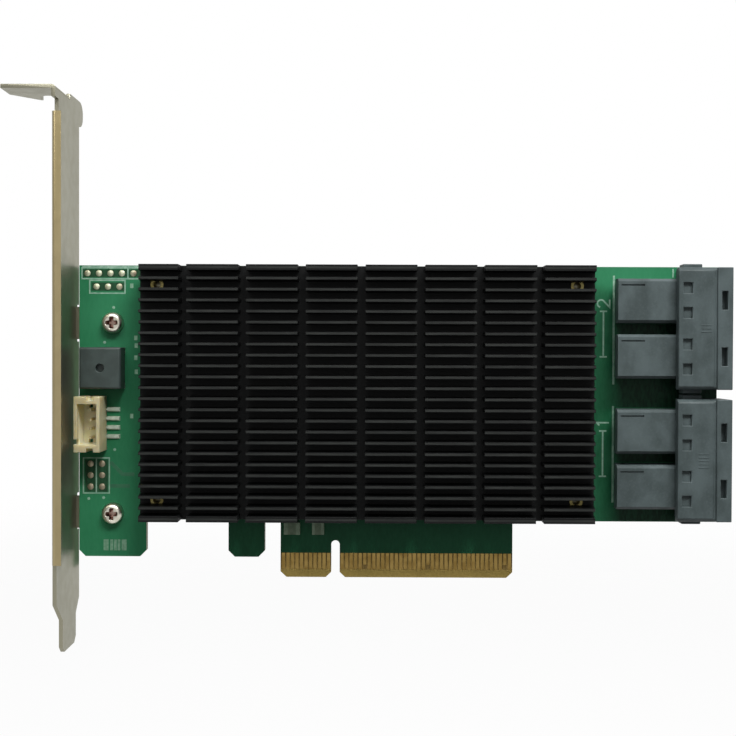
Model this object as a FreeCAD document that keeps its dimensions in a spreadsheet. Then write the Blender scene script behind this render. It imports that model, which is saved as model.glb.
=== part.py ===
import FreeCAD, Part
import os
import Sketcher
from FreeCAD import Placement, Rotation, Vector

# Host bus adapter: a low-profile eight-lane expansion card on a full-height slot bracket.
# X runs along the card away from the bracket, Y points away from the component side, Z is up.
# The origin is the middle of the key slot at the lower edge of the edge connector,
# half way through the thickness of the board. All sizes are in millimetres.

doc = FreeCAD.newDocument("HostBusAdapter")
sheet = doc.addObject("Spreadsheet::Sheet", "Sizes")

SIZES = {
    # Circuit board, measured from the key slot
    "board_thick": 1.57,
    "board_left": 56.8,
    "board_right": 84.0,
    "board_top": 68.9,
    "board_foot": 12.7,
    "tab_foot": 4.5,
    "tab_corner": 1.4,
    "corner_tab_right": 41.9,
    "guide_tab_left": 23.7,
    "guide_tab_right": 15.65,
    "tongue_left": 12.15,
    "tongue_right": 39.15,
    "tongue_corner": 1.3,
    "key_width": 1.9,
    "key_height": 8.25,
    "key_mouth": 1.2,
    "bevel_height": 1.7,
    "bevel_depth": 0.42,
    # Edge contacts
    "contact_pitch": 1.0,
    "contact_width": 0.7,
    "contact_first": 1.5,
    "contact_foot": 1.9,
    "contact_top": 5.45,
    "contact_thick": 0.05,
    "contact_short": 1.0,
    "contacts_left": 11,
    "contacts_right": 38,
    # Slot bracket, a folded sheet
    "sheet_thick": 0.86,
    "bracket_inner": 57.9,
    "bracket_front": 15.34,
    "bracket_width": 18.42,
    "bracket_top": 105.3,
    "bracket_height": 120.02,
    "ear_reach": 3.17,
    "ear_top": 105.9,
    "ear_foot": 100.3,
    "ear_corner": 2.6,
    "relief_depth": 2.5,
    "relief_foot": 99.8,
    "relief_top": 102.8,
    "lip_reach": 2.05,
    "lip_foot": 5.1,
    "lip_setback": 0.9,
    "bend_round": 0.8,
    "tongue_front": 9.8,
    "tongue_width": 10.19,
    "shoulder_front_top": -3.4,
    "shoulder_front_foot": -7.6,
    "shoulder_rear_top": -5.3,
    "shoulder_rear_foot": -8.4,
    "tip_corner": 1.3,
    "fixing_length": 11.43,
    "fixing_slot_width": 4.42,
    "fixing_slot_gap": 0.5,
    "fixing_slot_depth": 4.2,
    "fixing_hook_rear": -4.2,
    "fixing_corner": 5.2,
    # Two lugs of the bracket behind the board, and their screws
    "lug_reach": 12.2,
    "lug_height": 7.2,
    "lug_relief": 0.5,
    "lug_corner": 1.4,
    "bracket_screw_x": 49.3,
    "bracket_screw_high": 56.2,
    "bracket_screw_low": 14.1,
    "bracket_head_radius": 2.35,
    "bracket_head_height": 1.9,
    "bracket_shank_radius": 1.25,
    "bracket_screw_length": 4.5,
    "bracket_hole_radius": 1.6,
    "bracket_crown": 0.75,
    # Cross recess of a screw, as shares of the head's radius or height
    "recess_arm_share": 0.58,
    "recess_half_share": 0.15,
    "recess_depth_share": 0.5,
    # Heat sink, an extrusion with cross-cut fins
    "sink_left": 41.7,
    "sink_right": 55.5,
    "sink_foot": 13.55,
    "sink_top": 68.5,
    "sink_gap": 2.6,
    "sink_base": 2.2,
    "fin_height": 4.8,
    "fin_tip": 0.62,
    "fin_root": 0.86,
    "edge_fin": 1.25,
    "fin_count": 22,
    "channel_width": 1.7,
    "channel_pitch": 12.7,
    "channel_first": -32.4,
    "channel_count": 7,
    # Standoffs pressed into the heat sink, and their screws
    "standoff_left": 38.7,
    "standoff_right": 52.3,
    "standoff_gap": 1.5,
    "collar_radius": 2.25,
    "rivet_radius": 1.4,
    "rivet_recess": 0.1,
    "thread_radius": 0.82,
    "sink_screw_hole_radius": 1.15,
    "sink_head_radius": 1.9,
    "sink_head_height": 1.3,
    "sink_screw_length": 5.0,
    "fit_clearance": 0.03,
    # Dual port connectors
    "hood_rear": 73.2,
    "hood_foot": 6.45,
    "shroud_rear": 74.85,
    "shroud_rim": 81.4,
    "shroud_front": 84.7,
    "shroud_height": 8.6,
    "shroud_length": 26.1,
    "shroud_chamfer": 0.7,
    "rim_rise": 0.2,
    "groove_width": 0.5,
    "groove_depth": 0.25,
    "connector_high": 55.2,
    "connector_low": 27.0,
    "port_pitch": 12.0,
    "port_floor": 1.0,
    "port_ceiling": 7.5,
    "port_width": 8.8,
    "port_play": 0.05,
    "latch_left": 82.35,
    "latch_width": 1.2,
    "latch_length": 3.9,
    "shelf_rear": 81.6,
    "shelf_foot": 6.2,
    "shelf_top": 6.7,
    "ear_right": 79.0,
    "shroud_ear": 0.9,
    "shroud_ear_foot": 2.6,
    "shroud_ear_top": 5.6,
    "pit_left": 74.2,
    "pit_width": 1.9,
    "pit_length": 2.3,
    "pit_offset": 2.65,
    "pit_depth": 0.7,
    # Contact blocks and contacts of the ports
    "tower_rear": 60.8,
    "tower_width": 9.5,
    "tower_height": 6.4,
    "tower_chamfer": 0.6,
    "tower_wall": 1.0,
    "tower_roof": 0.6,
    "tower_step": 0.75,
    "tower_step_height": 3.4,
    "tower_groove_left": 61.5,
    "tower_groove_length": 5.0,
    "tower_groove_inset": 1.2,
    "tower_groove_width": 0.35,
    "tower_groove_depth": 0.3,
    "hollow_width": 7.4,
    "nose_front": 80.0,
    "slot_low": 2.9,
    "slot_high": 5.2,
    "slot_height": 1.0,
    "row_pitch": 0.75,
    "row_count": 9,
    "beam_width": 0.3,
    "beam_thick": 0.2,
    "beam_tip": 79.6,
    "beam_tail": 71.6,
    # Buzzer
    "buzzer_x": -51.2,
    "buzzer_z": 46.25,
    "buzzer_width": 9.1,
    "buzzer_length": 9.1,
    "buzzer_height": 4.3,
    "buzzer_lift": 0.2,
    "buzzer_edge": 0.35,
    "buzzer_hole_radius": 0.9,
    "buzzer_hole_depth": 1.2,
    "terminal_width": 2.0,
    "terminal_length": 1.4,
    # Wire header with four pins
    "header_left": 56.3,
    "header_right": 50.7,
    "header_foot": 28.1,
    "header_top": 40.1,
    "header_height": 6.6,
    "header_wall": 0.75,
    "header_end": 1.6,
    "header_floor": 1.2,
    "header_gap": 1.5,
    "header_gap_inset": 0.85,
    "header_gap_left": 53.6,
    "header_gap_depth": 4.2,
    "header_hole": 0.9,
    "header_hole_x": 53.9,
    "header_hole_spread": 7.7,
    "header_notch": 1.1,
    "header_notch_foot": 29.8,
    "header_notch_depth": 2.4,
    "header_pin_pitch": 2.0,
    "header_pin_first": 31.1,
    "header_pin_left": 53.45,
    "header_pin_size": 0.5,
    "header_pin_height": 4.6,
    "header_leg_right": 47.9,
    "header_pin_count": 4,
    # Switch chip under the heat sink
    "chip_x": 7.0,
    "chip_z": 41.0,
    "chip_size": 27.0,
    "chip_base": 0.9,
    "lid_size": 23.5,
    "lid_height": 1.2,
    "pad_size": 22.0,
    # Small packages under the heat sink
    "inductor_size": 5.0,
    "inductor_height": 2.0,
    "regulator_size": 5.0,
    "regulator_height": 0.9,
    "supply_x": -26.0,
    "supply_z": 24.0,
    "supply_pitch": 11.0,
    "supply_gap": 2.0,
    "supply_count": 3,
    "memory_width": 5.0,
    "memory_length": 6.0,
    "memory_height": 1.7,
    "memory_x": 31.0,
    "memory_z": 60.0,
    "clock_width": 5.0,
    "clock_length": 3.2,
    "clock_height": 1.2,
    "clock_x": -14.0,
    "clock_z": 62.0,
    # Capacitors
    "chip_cap_width": 1.0,
    "chip_cap_length": 0.5,
    "chip_cap_height": 0.5,
    "coupling_x": 48.5,
    "coupling_z": 20.0,
    "coupling_pitch": 2.7,
    "coupling_count": 16,
    "bypass_columns": 4,
    "bypass_rows": 3,
    "bypass_pitch_x": 5.1,
    "bypass_pitch_z": 6.9,
    "bulk_cap_left": -11.3,
    "bulk_cap_width": 3.5,
    "filter_cap_left": -5.1,
    "filter_cap_width": 2.6,
    "edge_cap_foot": 9.7,
    "edge_cap_top": 12.3,
    "edge_cap_height": 1.5,
}


class Size:
    """A length that keeps its number together with the expression that gives it."""

    def __init__(self, number, text):
        self.number = number
        self.text = text

    def __add__(self, other):
        other = as_size(other)
        return Size(self.number + other.number, f"({self.text} + {other.text})")

    def __sub__(self, other):
        other = as_size(other)
        return Size(self.number - other.number, f"({self.text} - {other.text})")

    def __mul__(self, factor):
        factor = as_size(factor)
        return Size(self.number * factor.number, f"({self.text} * {factor.text})")

    def __truediv__(self, factor):
        factor = as_size(factor)
        return Size(self.number / factor.number, f"({self.text} / {factor.text})")

    def __neg__(self):
        return Size(-self.number, f"(0 - {self.text})")


def as_size(value):
    """Take a plain number for a size without a cell of its own."""
    if isinstance(value, Size):
        return value
    return Size(float(value), f"{value:g}")


class Cells:
    """Gives each named cell of the sheet as a size."""

    def __getattr__(self, alias):
        return Size(float(SIZES[alias]), f"{sheet.Name}.{alias}")


s = Cells()
NOTHING = as_size(0)


def fill_sheet():
    """Write every driving dimension to its own cell, with its name as the alias."""
    for row, (alias, value) in enumerate(SIZES.items(), start=1):
        sheet.set(f"A{row}", alias)
        sheet.set(f"B{row}", f"{value:g}")
        sheet.setAlias(f"B{row}", alias)
    doc.recompute()


def bind(item, path, size):
    """Tie one property of an object to the sheet."""
    item.setExpression(path, as_size(size).text)


def place(item, x=NOTHING, y=NOTHING, z=NOTHING, rotation=None):
    """Set an object's Placement and tie its position to the sheet."""
    position = [as_size(value) for value in (x, y, z)]
    corner = Vector(*[value.number for value in position])
    item.Placement = Placement(corner, rotation or Rotation())
    for axis, value in zip("xyz", position):
        bind(item, f"Placement.Base.{axis}", value)


def new_body(label):
    body = doc.addObject("PartDesign::Body", label)
    body.Label = label
    return body


def origin_feature(body, role):
    """One of the body's own origin planes or axes."""
    for feature in body.Origin.OriginFeatures:
        if feature.Role == role:
            return feature
    raise ValueError(role)


def new_sketch(body, plane, offset=NOTHING):
    """Sketch on an origin plane of the body, moved along the plane's normal.

    The normals are -Y for XZ_Plane, +X for YZ_Plane and +Z for XY_Plane."""
    offset = as_size(offset)
    sketch = body.newObject("Sketcher::SketchObject", f"{body.Name}_sketch")
    sketch.AttachmentSupport = [(origin_feature(body, plane), "")]
    sketch.MapMode = "FlatFace"
    sketch.AttachmentOffset = Placement(Vector(0, 0, offset.number), Rotation())
    bind(sketch, "AttachmentOffset.Base.z", offset)
    return sketch


def pin_point(sketch, curve, point, x, y):
    """Hold one point of a sketch by its two distances from the sketch's origin."""
    for kind, axis, size in (("DistanceX", -2, x), ("DistanceY", -1, y)):
        if abs(size.number) < 1e-9:
            sketch.addConstraint(Sketcher.Constraint("PointOnObject", curve, point, axis))
            continue
        index = sketch.addConstraint(Sketcher.Constraint(kind, -1, 1, curve, point, size.number))
        bind(sketch, f"Constraints[{index}]", size)


def outline(sketch, corners):
    """Closed outline of straight edges through the corners."""
    corners = [(as_size(x), as_size(y)) for x, y in corners]
    first = sketch.GeometryCount
    count = len(corners)
    points = [Vector(x.number, y.number, 0) for x, y in corners]
    for i in range(count):
        sketch.addGeometry(Part.LineSegment(points[i], points[(i + 1) % count]), False)
    for i in range(count):
        after = first + (i + 1) % count
        sketch.addConstraint(Sketcher.Constraint("Coincident", first + i, 2, after, 1))
    for i, (x, y) in enumerate(corners):
        pin_point(sketch, first + i, 1, x, y)


def rectangle(sketch, left, right, low, high):
    outline(sketch, [(left, low), (right, low), (right, high), (left, high)])


def circle(sketch, x, y, radius):
    x, y, radius = as_size(x), as_size(y), as_size(radius)
    ring = Part.Circle(Vector(x.number, y.number, 0), Vector(0, 0, 1), radius.number)
    curve = sketch.addGeometry(ring, False)
    pin_point(sketch, curve, 3, x, y)
    index = sketch.addConstraint(Sketcher.Constraint("Radius", curve, radius.number))
    bind(sketch, f"Constraints[{index}]", radius)


def pad(body, sketch, length, reverse=False):
    """Add material from the sketch along its normal, or against it."""
    length = as_size(length)
    feature = body.newObject("PartDesign::Pad", f"{body.Name}_pad")
    feature.Profile = sketch
    feature.Length = length.number
    bind(feature, "Length", length)
    feature.Reversed = reverse
    body.Tip = feature
    doc.recompute()
    return feature


def pocket(body, sketch, depth, reverse=False):
    """Cut against the sketch's normal, or along it, and make sure that material went."""
    depth = as_size(depth)
    doc.recompute()
    before = body.Shape.Volume
    feature = body.newObject("PartDesign::Pocket", f"{body.Name}_pocket")
    feature.Profile = sketch
    feature.Length = depth.number
    bind(feature, "Length", depth)
    feature.Reversed = reverse
    body.Tip = feature
    doc.recompute()
    if body.Shape.Volume >= before:
        raise RuntimeError(f"{feature.Name} cuts nothing")
    return feature


def repeat(body, feature, axis, spacing, count, backwards=False):
    """Repeat a feature of the body in a straight row."""
    pattern = body.newObject("PartDesign::LinearPattern", f"{body.Name}_row")
    pattern.Originals = [feature]
    pattern.Direction = (origin_feature(body, axis), [""])
    pattern.Reversed = backwards
    length = as_size(spacing) * (as_size(count) - 1)
    pattern.Length = length.number
    bind(pattern, "Length", length)
    pattern.Occurrences = int(as_size(count).number)
    bind(pattern, "Occurrences", count)
    body.Tip = pattern
    doc.recompute()
    return pattern


def turn(body, sketch):
    """Turn a sketch on the XY plane about its upright axis, which is the body's Y axis."""
    feature = body.newObject("PartDesign::Revolution", f"{body.Name}_turn")
    feature.Profile = sketch
    feature.ReferenceAxis = (sketch, ["V_Axis"])
    feature.Angle = 360
    body.Tip = feature
    doc.recompute()
    return feature


def runs_along(points, axis):
    """Whether an edge from the first point to the last is parallel to an axis."""
    span = points[-1] - points[0]
    return abs(getattr(span, axis)) > 0.999 * span.Length > 0


def edges_where(shape, wanted, axis):
    """Names of the edges whose ends all pass the test, and which follow the axis if one is given."""
    names = []
    for number, edge in enumerate(shape.Edges, start=1):
        points = [vertex.Point for vertex in edge.Vertexes]
        if axis and not runs_along(points, axis):
            continue
        if all(wanted(point) for point in points):
            names.append(f"Edge{number}")
    if not names:
        raise RuntimeError("no edge found")
    return names


def round_edges(body, radius, wanted, axis=None, kind="Fillet"):
    """Round or chamfer the edges of the body that pass the test."""
    radius = as_size(radius)
    base = body.Tip
    names = edges_where(base.Shape, wanted, axis)
    feature = body.newObject(f"PartDesign::{kind}", f"{body.Name}_{kind.lower()}")
    feature.Base = (base, names)
    path = "Radius" if kind == "Fillet" else "Size"
    setattr(feature, path, radius.number)
    bind(feature, path, radius)
    body.Tip = feature
    doc.recompute()
    return feature


def near(value, size):
    return abs(value - as_size(size).number) < 1e-4


def new_box(name, width, depth, height, x, y, z):
    """Box with its lowest corner at a position: width along X, depth along Y, height along Z."""
    box = doc.addObject("Part::Box", name)
    for path, size in (("Length", width), ("Width", depth), ("Height", height)):
        setattr(box, path, as_size(size).number)
        bind(box, path, size)
    place(box, x, y, z)
    return box


def group(label, members):
    """One node for a group of separate pieces of the same kind."""
    node = doc.addObject("Part::Compound", label)
    node.Label = label
    node.Links = members
    return node


def cut(label, base, tool):
    """One piece with the room for another piece cut out of it."""
    node = doc.addObject("Part::Cut", label)
    node.Label = label
    node.Base = base
    node.Tool = tool
    return node


fill_sheet()

HALF_ROOT_THREE = 0.75 ** 0.5

# The short contacts that show a one, four or eight lane card, counted from the key slot
PRESENCE_PLACES = (5, 19, 36)

# Distances that several pieces share
FACE = s.board_thick / 2
SINK_SEAT = FACE + s.sink_gap
FIN_ROOT = SINK_SEAT + s.sink_base
FIN_TIP = FIN_ROOT + s.fin_height
FIN_PITCH = (s.sink_top - s.sink_foot - s.edge_fin) / (s.fin_count + 1)
STANDOFF_INSET = s.edge_fin / 2 + FIN_PITCH * s.standoff_gap
STANDOFF_Z = [s.sink_top - STANDOFF_INSET, s.sink_foot + STANDOFF_INSET]
STANDOFF_X = [-s.standoff_left, s.standoff_right]
STANDOFFS = [(x, z) for x in STANDOFF_X for z in STANDOFF_Z]
BRACKET_SCREWS = [(-s.bracket_screw_x, s.bracket_screw_high), (-s.bracket_screw_x, s.bracket_screw_low)]
BRACKET_OUTER = s.bracket_inner + s.sheet_thick
BRACKET_REAR = s.bracket_width - s.bracket_front


def board_outline():
    """Corners of the board, clockwise from the lower left, with its tongues and tabs."""
    key = s.key_width / 2
    mouth = s.key_mouth
    corner = s.tongue_corner
    chamfer = s.tab_corner
    key_arc = s.key_height - key
    return [
        (-s.board_left, s.tab_foot + chamfer),
        (-s.board_left, s.board_top),
        (s.board_right, s.board_top),
        (s.board_right, s.board_foot),
        (s.tongue_right, s.board_foot),
        (s.tongue_right, corner),
        (s.tongue_right - corner, NOTHING),
        (key + mouth, NOTHING),
        (key, mouth),
        (key, key_arc),
        (-key, key_arc),
        (-key, mouth),
        (-key - mouth, NOTHING),
        (corner - s.tongue_left, NOTHING),
        (-s.tongue_left, corner),
        (-s.tongue_left, s.board_foot),
        (-s.guide_tab_right, s.board_foot),
        (-s.guide_tab_right, s.tab_foot + chamfer),
        (-s.guide_tab_right - chamfer, s.tab_foot),
        (chamfer - s.guide_tab_left, s.tab_foot),
        (-s.guide_tab_left, s.tab_foot + chamfer),
        (-s.guide_tab_left, s.board_foot),
        (-s.corner_tab_right, s.board_foot),
        (-s.corner_tab_right, s.tab_foot + chamfer),
        (-s.corner_tab_right - chamfer, s.tab_foot),
        (chamfer - s.board_left, s.tab_foot),
    ]


def circuit_board():
    body = new_body("circuit_board")
    plate = new_sketch(body, "XZ_Plane", -FACE)
    outline(plate, board_outline())
    pad(body, plate, s.board_thick)

    holes = new_sketch(body, "XZ_Plane", FACE)
    circle(holes, NOTHING, s.key_height - s.key_width / 2, s.key_width / 2)
    for x, z in BRACKET_SCREWS:
        circle(holes, x, z, s.bracket_hole_radius)
    for x, z in STANDOFFS:
        circle(holes, x, z, s.sink_screw_hole_radius)
    pocket(body, holes, s.board_thick)

    bevel = new_sketch(body, "YZ_Plane", s.tongue_right)
    for side in (-1, 1):
        face = FACE * side
        edge = (FACE - s.bevel_depth) * side
        outline(bevel, [(face, NOTHING), (edge, NOTHING), (face, s.bevel_height)])
    pocket(body, bevel, s.tongue_left + s.tongue_right)
    return body


def edge_contacts(label, side, short_contacts):
    """Gold contacts on one face of the tongue; the presence contacts start further up."""
    body = new_body(label)
    front = side == "front"
    level = FACE if front else -FACE
    half = s.contact_width / 2
    for centre, count, backwards in ((-s.contact_first, s.contacts_left, True),
                                     (s.contact_first, s.contacts_right, False)):
        finger = new_sketch(body, "XZ_Plane", level)
        rectangle(finger, centre - half, centre + half, s.contact_foot, s.contact_top)
        feature = pad(body, finger, s.contact_thick, reverse=not front)
        repeat(body, feature, "X_Axis", s.contact_pitch, count, backwards)

    short = new_sketch(body, "XZ_Plane", level)
    for centre in short_contacts:
        rectangle(short, centre - half, centre + half, s.contact_foot, s.contact_foot + s.contact_short)
    pocket(body, short, s.contact_thick, reverse=front)
    return body


def bracket_outline():
    """Corners of the flat strip in the Y Z plane, from the front of the lip up and round."""
    front = -s.bracket_front
    rear = BRACKET_REAR
    tongue_rear = s.tongue_width - s.tongue_front
    tip = s.bracket_top - s.bracket_height
    lug_face = FACE + s.sheet_thick
    half_notch = s.lug_height / 2 + s.lug_relief
    corners = [
        (front + s.lip_setback, s.shoulder_front_top),
        (front + s.lip_setback, s.lip_foot),
        (front, s.lip_foot),
        (front, s.relief_foot),
        (front + s.relief_depth, s.relief_foot),
        (front + s.relief_depth, s.relief_top),
        (front, s.relief_top),
        (front, s.bracket_top),
        (s.fixing_hook_rear, s.bracket_top),
        (s.fixing_hook_rear, s.ear_top),
        (rear + s.ear_reach, s.ear_top),
        (rear + s.ear_reach, s.ear_foot),
        (rear, s.ear_foot),
    ]
    for lug in (s.bracket_screw_high, s.bracket_screw_low):
        corners += [
            (rear, lug + half_notch),
            (lug_face, lug + half_notch),
            (lug_face, lug - half_notch),
            (rear, lug - half_notch),
        ]
    corners += [
        (rear, s.shoulder_rear_top),
        (tongue_rear, s.shoulder_rear_foot),
        (tongue_rear, tip + s.tip_corner),
        (tongue_rear - s.tip_corner, tip),
        (s.tip_corner - s.tongue_front, tip),
        (-s.tongue_front, tip + s.tip_corner),
        (-s.tongue_front, s.shoulder_front_foot),
    ]
    return corners


def bracket():
    body = new_body("slot_bracket")
    strip = new_sketch(body, "YZ_Plane", -BRACKET_OUTER)
    outline(strip, bracket_outline())
    pad(body, strip, s.sheet_thick)

    lip = new_sketch(body, "XZ_Plane", s.bracket_front)
    rectangle(lip, -BRACKET_OUTER, s.lip_reach - BRACKET_OUTER, s.lip_foot, s.relief_foot)
    pad(body, lip, s.sheet_thick, reverse=True)

    # The tab that is screwed to the case, with its slot open to the rear beside the ear
    tab = new_sketch(body, "XY_Plane", s.bracket_top - s.sheet_thick)
    end = -s.bracket_inner - s.fixing_length
    half_slot = s.fixing_slot_width / 2
    slot = -BRACKET_OUTER - s.fixing_slot_gap - half_slot
    slot_arc = s.fixing_hook_rear - s.fixing_slot_depth + half_slot
    outline(tab, [
        (-BRACKET_OUTER, -s.bracket_front),
        (end, -s.bracket_front),
        (end, s.fixing_hook_rear - s.fixing_corner),
        (end + s.fixing_corner, s.fixing_hook_rear),
        (slot - half_slot, s.fixing_hook_rear),
        (slot - half_slot, slot_arc),
        (slot + half_slot, slot_arc),
        (slot + half_slot, s.fixing_hook_rear),
        (-BRACKET_OUTER, s.fixing_hook_rear),
    ])
    pad(body, tab, s.sheet_thick)
    slot_end = new_sketch(body, "XY_Plane", s.bracket_top)
    circle(slot_end, slot, slot_arc, half_slot)
    pocket(body, slot_end, s.sheet_thick)

    # Two lugs folded behind the board
    lugs = new_sketch(body, "XZ_Plane", -FACE)
    half = s.lug_height / 2
    for x, z in BRACKET_SCREWS:
        rectangle(lugs, -s.bracket_inner, s.lug_reach - s.bracket_inner, z - half, z + half)
    pad(body, lugs, s.sheet_thick, reverse=True)
    holes = new_sketch(body, "XZ_Plane", -FACE)
    for x, z in BRACKET_SCREWS:
        circle(holes, x, z, s.bracket_shank_radius + s.fit_clearance)
    pocket(body, holes, s.sheet_thick)

    lug_end = s.lug_reach - s.bracket_inner
    ear = BRACKET_REAR + s.ear_reach
    round_edges(body, s.lug_corner, lambda p: near(p.x, lug_end), "y", "Chamfer")
    round_edges(body, s.ear_corner, lambda p: near(p.y, ear), "x")
    round_edges(body, s.bend_round, lambda p: near(p.x, -s.bracket_inner) and near(p.z, s.bracket_top), "y")
    round_edges(body, s.bend_round, lambda p: near(p.x, -BRACKET_OUTER) and near(p.y, -s.bracket_front)
                and p.z < s.relief_top.number, "z")
    return body


def cross_screw(name, head_radius, head_height, shank_radius, length, crown=None):
    """Cross-recess screw on the Y axis: the head seats at the origin and faces -Y."""
    body = new_body(name)
    profile = new_sketch(body, "XY_Plane")
    outline(profile, [
        (NOTHING, -head_height),
        (head_radius, -head_height),
        (head_radius, NOTHING),
        (shank_radius, NOTHING),
        (shank_radius, length),
        (NOTHING, length),
    ])
    turn(body, profile)
    if crown:
        round_edges(body, crown, lambda p: near(p.y, -head_height), kind="Chamfer")

    recess = new_sketch(body, "XZ_Plane", head_height)
    arm = head_radius * s.recess_arm_share
    half = head_radius * s.recess_half_share
    quarter = [(arm, -half), (arm, half), (half, half)]
    corners = []
    for turns in range(4):
        for x, z in quarter:
            for _ in range(turns):
                x, z = -z, x
            corners.append((x, z))
    outline(recess, corners)
    pocket(body, recess, head_height * s.recess_depth_share)
    return body


def bracket_screws():
    """Two screws through the board from the component side into the lugs."""
    members = []
    for number, (x, z) in enumerate(BRACKET_SCREWS, start=1):
        screw = cross_screw(f"bracket_screw_{number}", s.bracket_head_radius, s.bracket_head_height,
                            s.bracket_shank_radius, s.bracket_screw_length, s.bracket_crown)
        place(screw, x, -FACE, z)
        members.append(screw)
    return group("bracket_screws", members)


def heat_sink():
    """Extruded plate with 24 fins along X, cut across by seven channels into eight columns."""
    body = new_body("heat_sink")
    plate = new_sketch(body, "XZ_Plane", SINK_SEAT)
    rectangle(plate, -s.sink_left, s.sink_right, s.sink_foot, s.sink_top)
    pad(body, plate, s.sink_base)

    holes = new_sketch(body, "XZ_Plane", FIN_ROOT)
    for x, z in STANDOFFS:
        circle(holes, x, z, s.rivet_radius + s.fit_clearance)
    pocket(body, holes, s.sink_base)

    length = s.sink_left + s.sink_right
    edge_fins = new_sketch(body, "YZ_Plane", -s.sink_left)
    rectangle(edge_fins, -FIN_TIP, -FIN_ROOT, s.sink_foot, s.sink_foot + s.edge_fin)
    rectangle(edge_fins, -FIN_TIP, -FIN_ROOT, s.sink_top - s.edge_fin, s.sink_top)
    pad(body, edge_fins, length)

    fin = new_sketch(body, "YZ_Plane", -s.sink_left)
    middle = s.sink_foot + s.edge_fin / 2 + FIN_PITCH
    outline(fin, [
        (-FIN_ROOT, middle - s.fin_root / 2),
        (-FIN_ROOT, middle + s.fin_root / 2),
        (-FIN_TIP, middle + s.fin_tip / 2),
        (-FIN_TIP, middle - s.fin_tip / 2),
    ])
    feature = pad(body, fin, length)
    repeat(body, feature, "Z_Axis", FIN_PITCH, s.fin_count)

    channel = new_sketch(body, "XZ_Plane", FIN_TIP)
    half = s.channel_width / 2
    rectangle(channel, s.channel_first - half, s.channel_first + half, s.sink_foot, s.sink_top)
    feature = pocket(body, channel, s.fin_height)
    repeat(body, feature, "X_Axis", s.channel_pitch, s.channel_count)
    return body


def standoffs():
    """Four brass standoffs: a hexagon collar under the heat sink and a rivet through its plate."""
    members = []
    corner = s.collar_radius
    half = s.collar_radius / 2
    flat = s.collar_radius * HALF_ROOT_THREE
    rivet = s.sink_base - s.rivet_recess
    for number, (x, z) in enumerate(STANDOFFS, start=1):
        body = new_body(f"standoff_{number}")
        collar = new_sketch(body, "XZ_Plane")
        outline(collar, [(corner, NOTHING), (half, flat), (-half, flat),
                         (-corner, NOTHING), (-half, -flat), (half, -flat)])
        pad(body, collar, s.sink_gap)
        stem = new_sketch(body, "XZ_Plane", s.sink_gap)
        circle(stem, NOTHING, NOTHING, s.rivet_radius)
        pad(body, stem, rivet)
        thread = new_sketch(body, "XZ_Plane", s.sink_gap + rivet)
        circle(thread, NOTHING, NOTHING, s.thread_radius)
        pocket(body, thread, s.sink_gap + rivet)
        place(body, x, -FACE, z)
        members.append(body)
    return group("sink_standoffs", members)


def sink_screws():
    """Four screws from the rear of the board into the standoffs."""
    members = []
    half_turn = Rotation(Vector(0, 0, 1), 180)
    for number, (x, z) in enumerate(STANDOFFS, start=1):
        screw = cross_screw(f"sink_screw_{number}", s.sink_head_radius, s.sink_head_height,
                            s.thread_radius - s.fit_clearance, s.sink_screw_length)
        place(screw, x, FACE, z, half_turn)
        members.append(screw)
    return group("sink_screws", members)


def port_centres(connector):
    """Heights of the two ports of a connector."""
    return [connector + s.port_pitch / 2, connector - s.port_pitch / 2]


def shroud_section(body, start, foot):
    """A cross-section of the shroud with bevelled long edges, from a level above the board to the roof."""
    half = s.shroud_length / 2
    roof = FACE + s.shroud_height
    bevel = s.shroud_chamfer
    section = new_sketch(body, "YZ_Plane", start)
    outline(section, [
        (-FACE - foot, -half),
        (-FACE - foot, half),
        (bevel - roof, half),
        (-roof, half - bevel),
        (-roof, bevel - half),
        (bevel - roof, -half),
    ])
    return section


def port_shroud(label, connector):
    """Shroud over two ports: a hood over the towers, a rim at the mouth, and windows over a latch shelf."""
    body = new_body(label)
    half = s.shroud_length / 2
    roof = FACE + s.shroud_height
    pad(body, shroud_section(body, s.shroud_rear, NOTHING), s.shroud_rim - s.shroud_rear)
    pad(body, shroud_section(body, s.hood_rear, s.hood_foot), s.shroud_rear - s.hood_rear)

    rim = new_sketch(body, "YZ_Plane", s.shroud_rim)
    rectangle(rim, -roof - s.rim_rise, -FACE, -half, half)
    pad(body, rim, s.shroud_front - s.shroud_rim)

    ears = new_sketch(body, "XZ_Plane", FACE + s.shroud_ear_foot)
    rectangle(ears, s.shroud_rear, s.ear_right, -half - s.shroud_ear, half + s.shroud_ear)
    pad(body, ears, s.shroud_ear_top - s.shroud_ear_foot)

    groove = new_sketch(body, "XZ_Plane", roof)
    rectangle(groove, s.shroud_rim - s.groove_width, s.shroud_rim, -half, half)
    pocket(body, groove, s.groove_depth)

    tunnels = new_sketch(body, "YZ_Plane", s.shelf_rear)
    mouths = new_sketch(body, "YZ_Plane", s.shroud_front)
    windows = new_sketch(body, "XZ_Plane", roof + s.rim_rise)
    pits = new_sketch(body, "XZ_Plane", roof)
    for port in port_centres(NOTHING):
        left = port - s.port_width / 2
        right = port + s.port_width / 2
        rectangle(tunnels, -FACE - s.port_ceiling, -FACE - s.port_floor, left, right)
        rectangle(mouths, -FACE - s.shelf_foot, -FACE - s.port_floor, left, right)
        rectangle(mouths, -FACE - s.port_ceiling, -FACE - s.shelf_top, left, right)
        rectangle(windows, s.latch_left, s.latch_left + s.latch_width,
                  port - s.latch_length / 2, port + s.latch_length / 2)
        for pit in (port - s.pit_offset, port + s.pit_offset):
            rectangle(pits, s.pit_left, s.pit_left + s.pit_width,
                      pit - s.pit_length / 2, pit + s.pit_length / 2)
    pocket(body, tunnels, s.shelf_rear - s.shroud_rear)
    pocket(body, mouths, s.shroud_front - s.shelf_rear)
    pocket(body, windows, s.shroud_height + s.rim_rise - s.port_ceiling)
    pocket(body, pits, s.pit_depth)
    place(body, NOTHING, NOTHING, connector)
    return body


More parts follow.
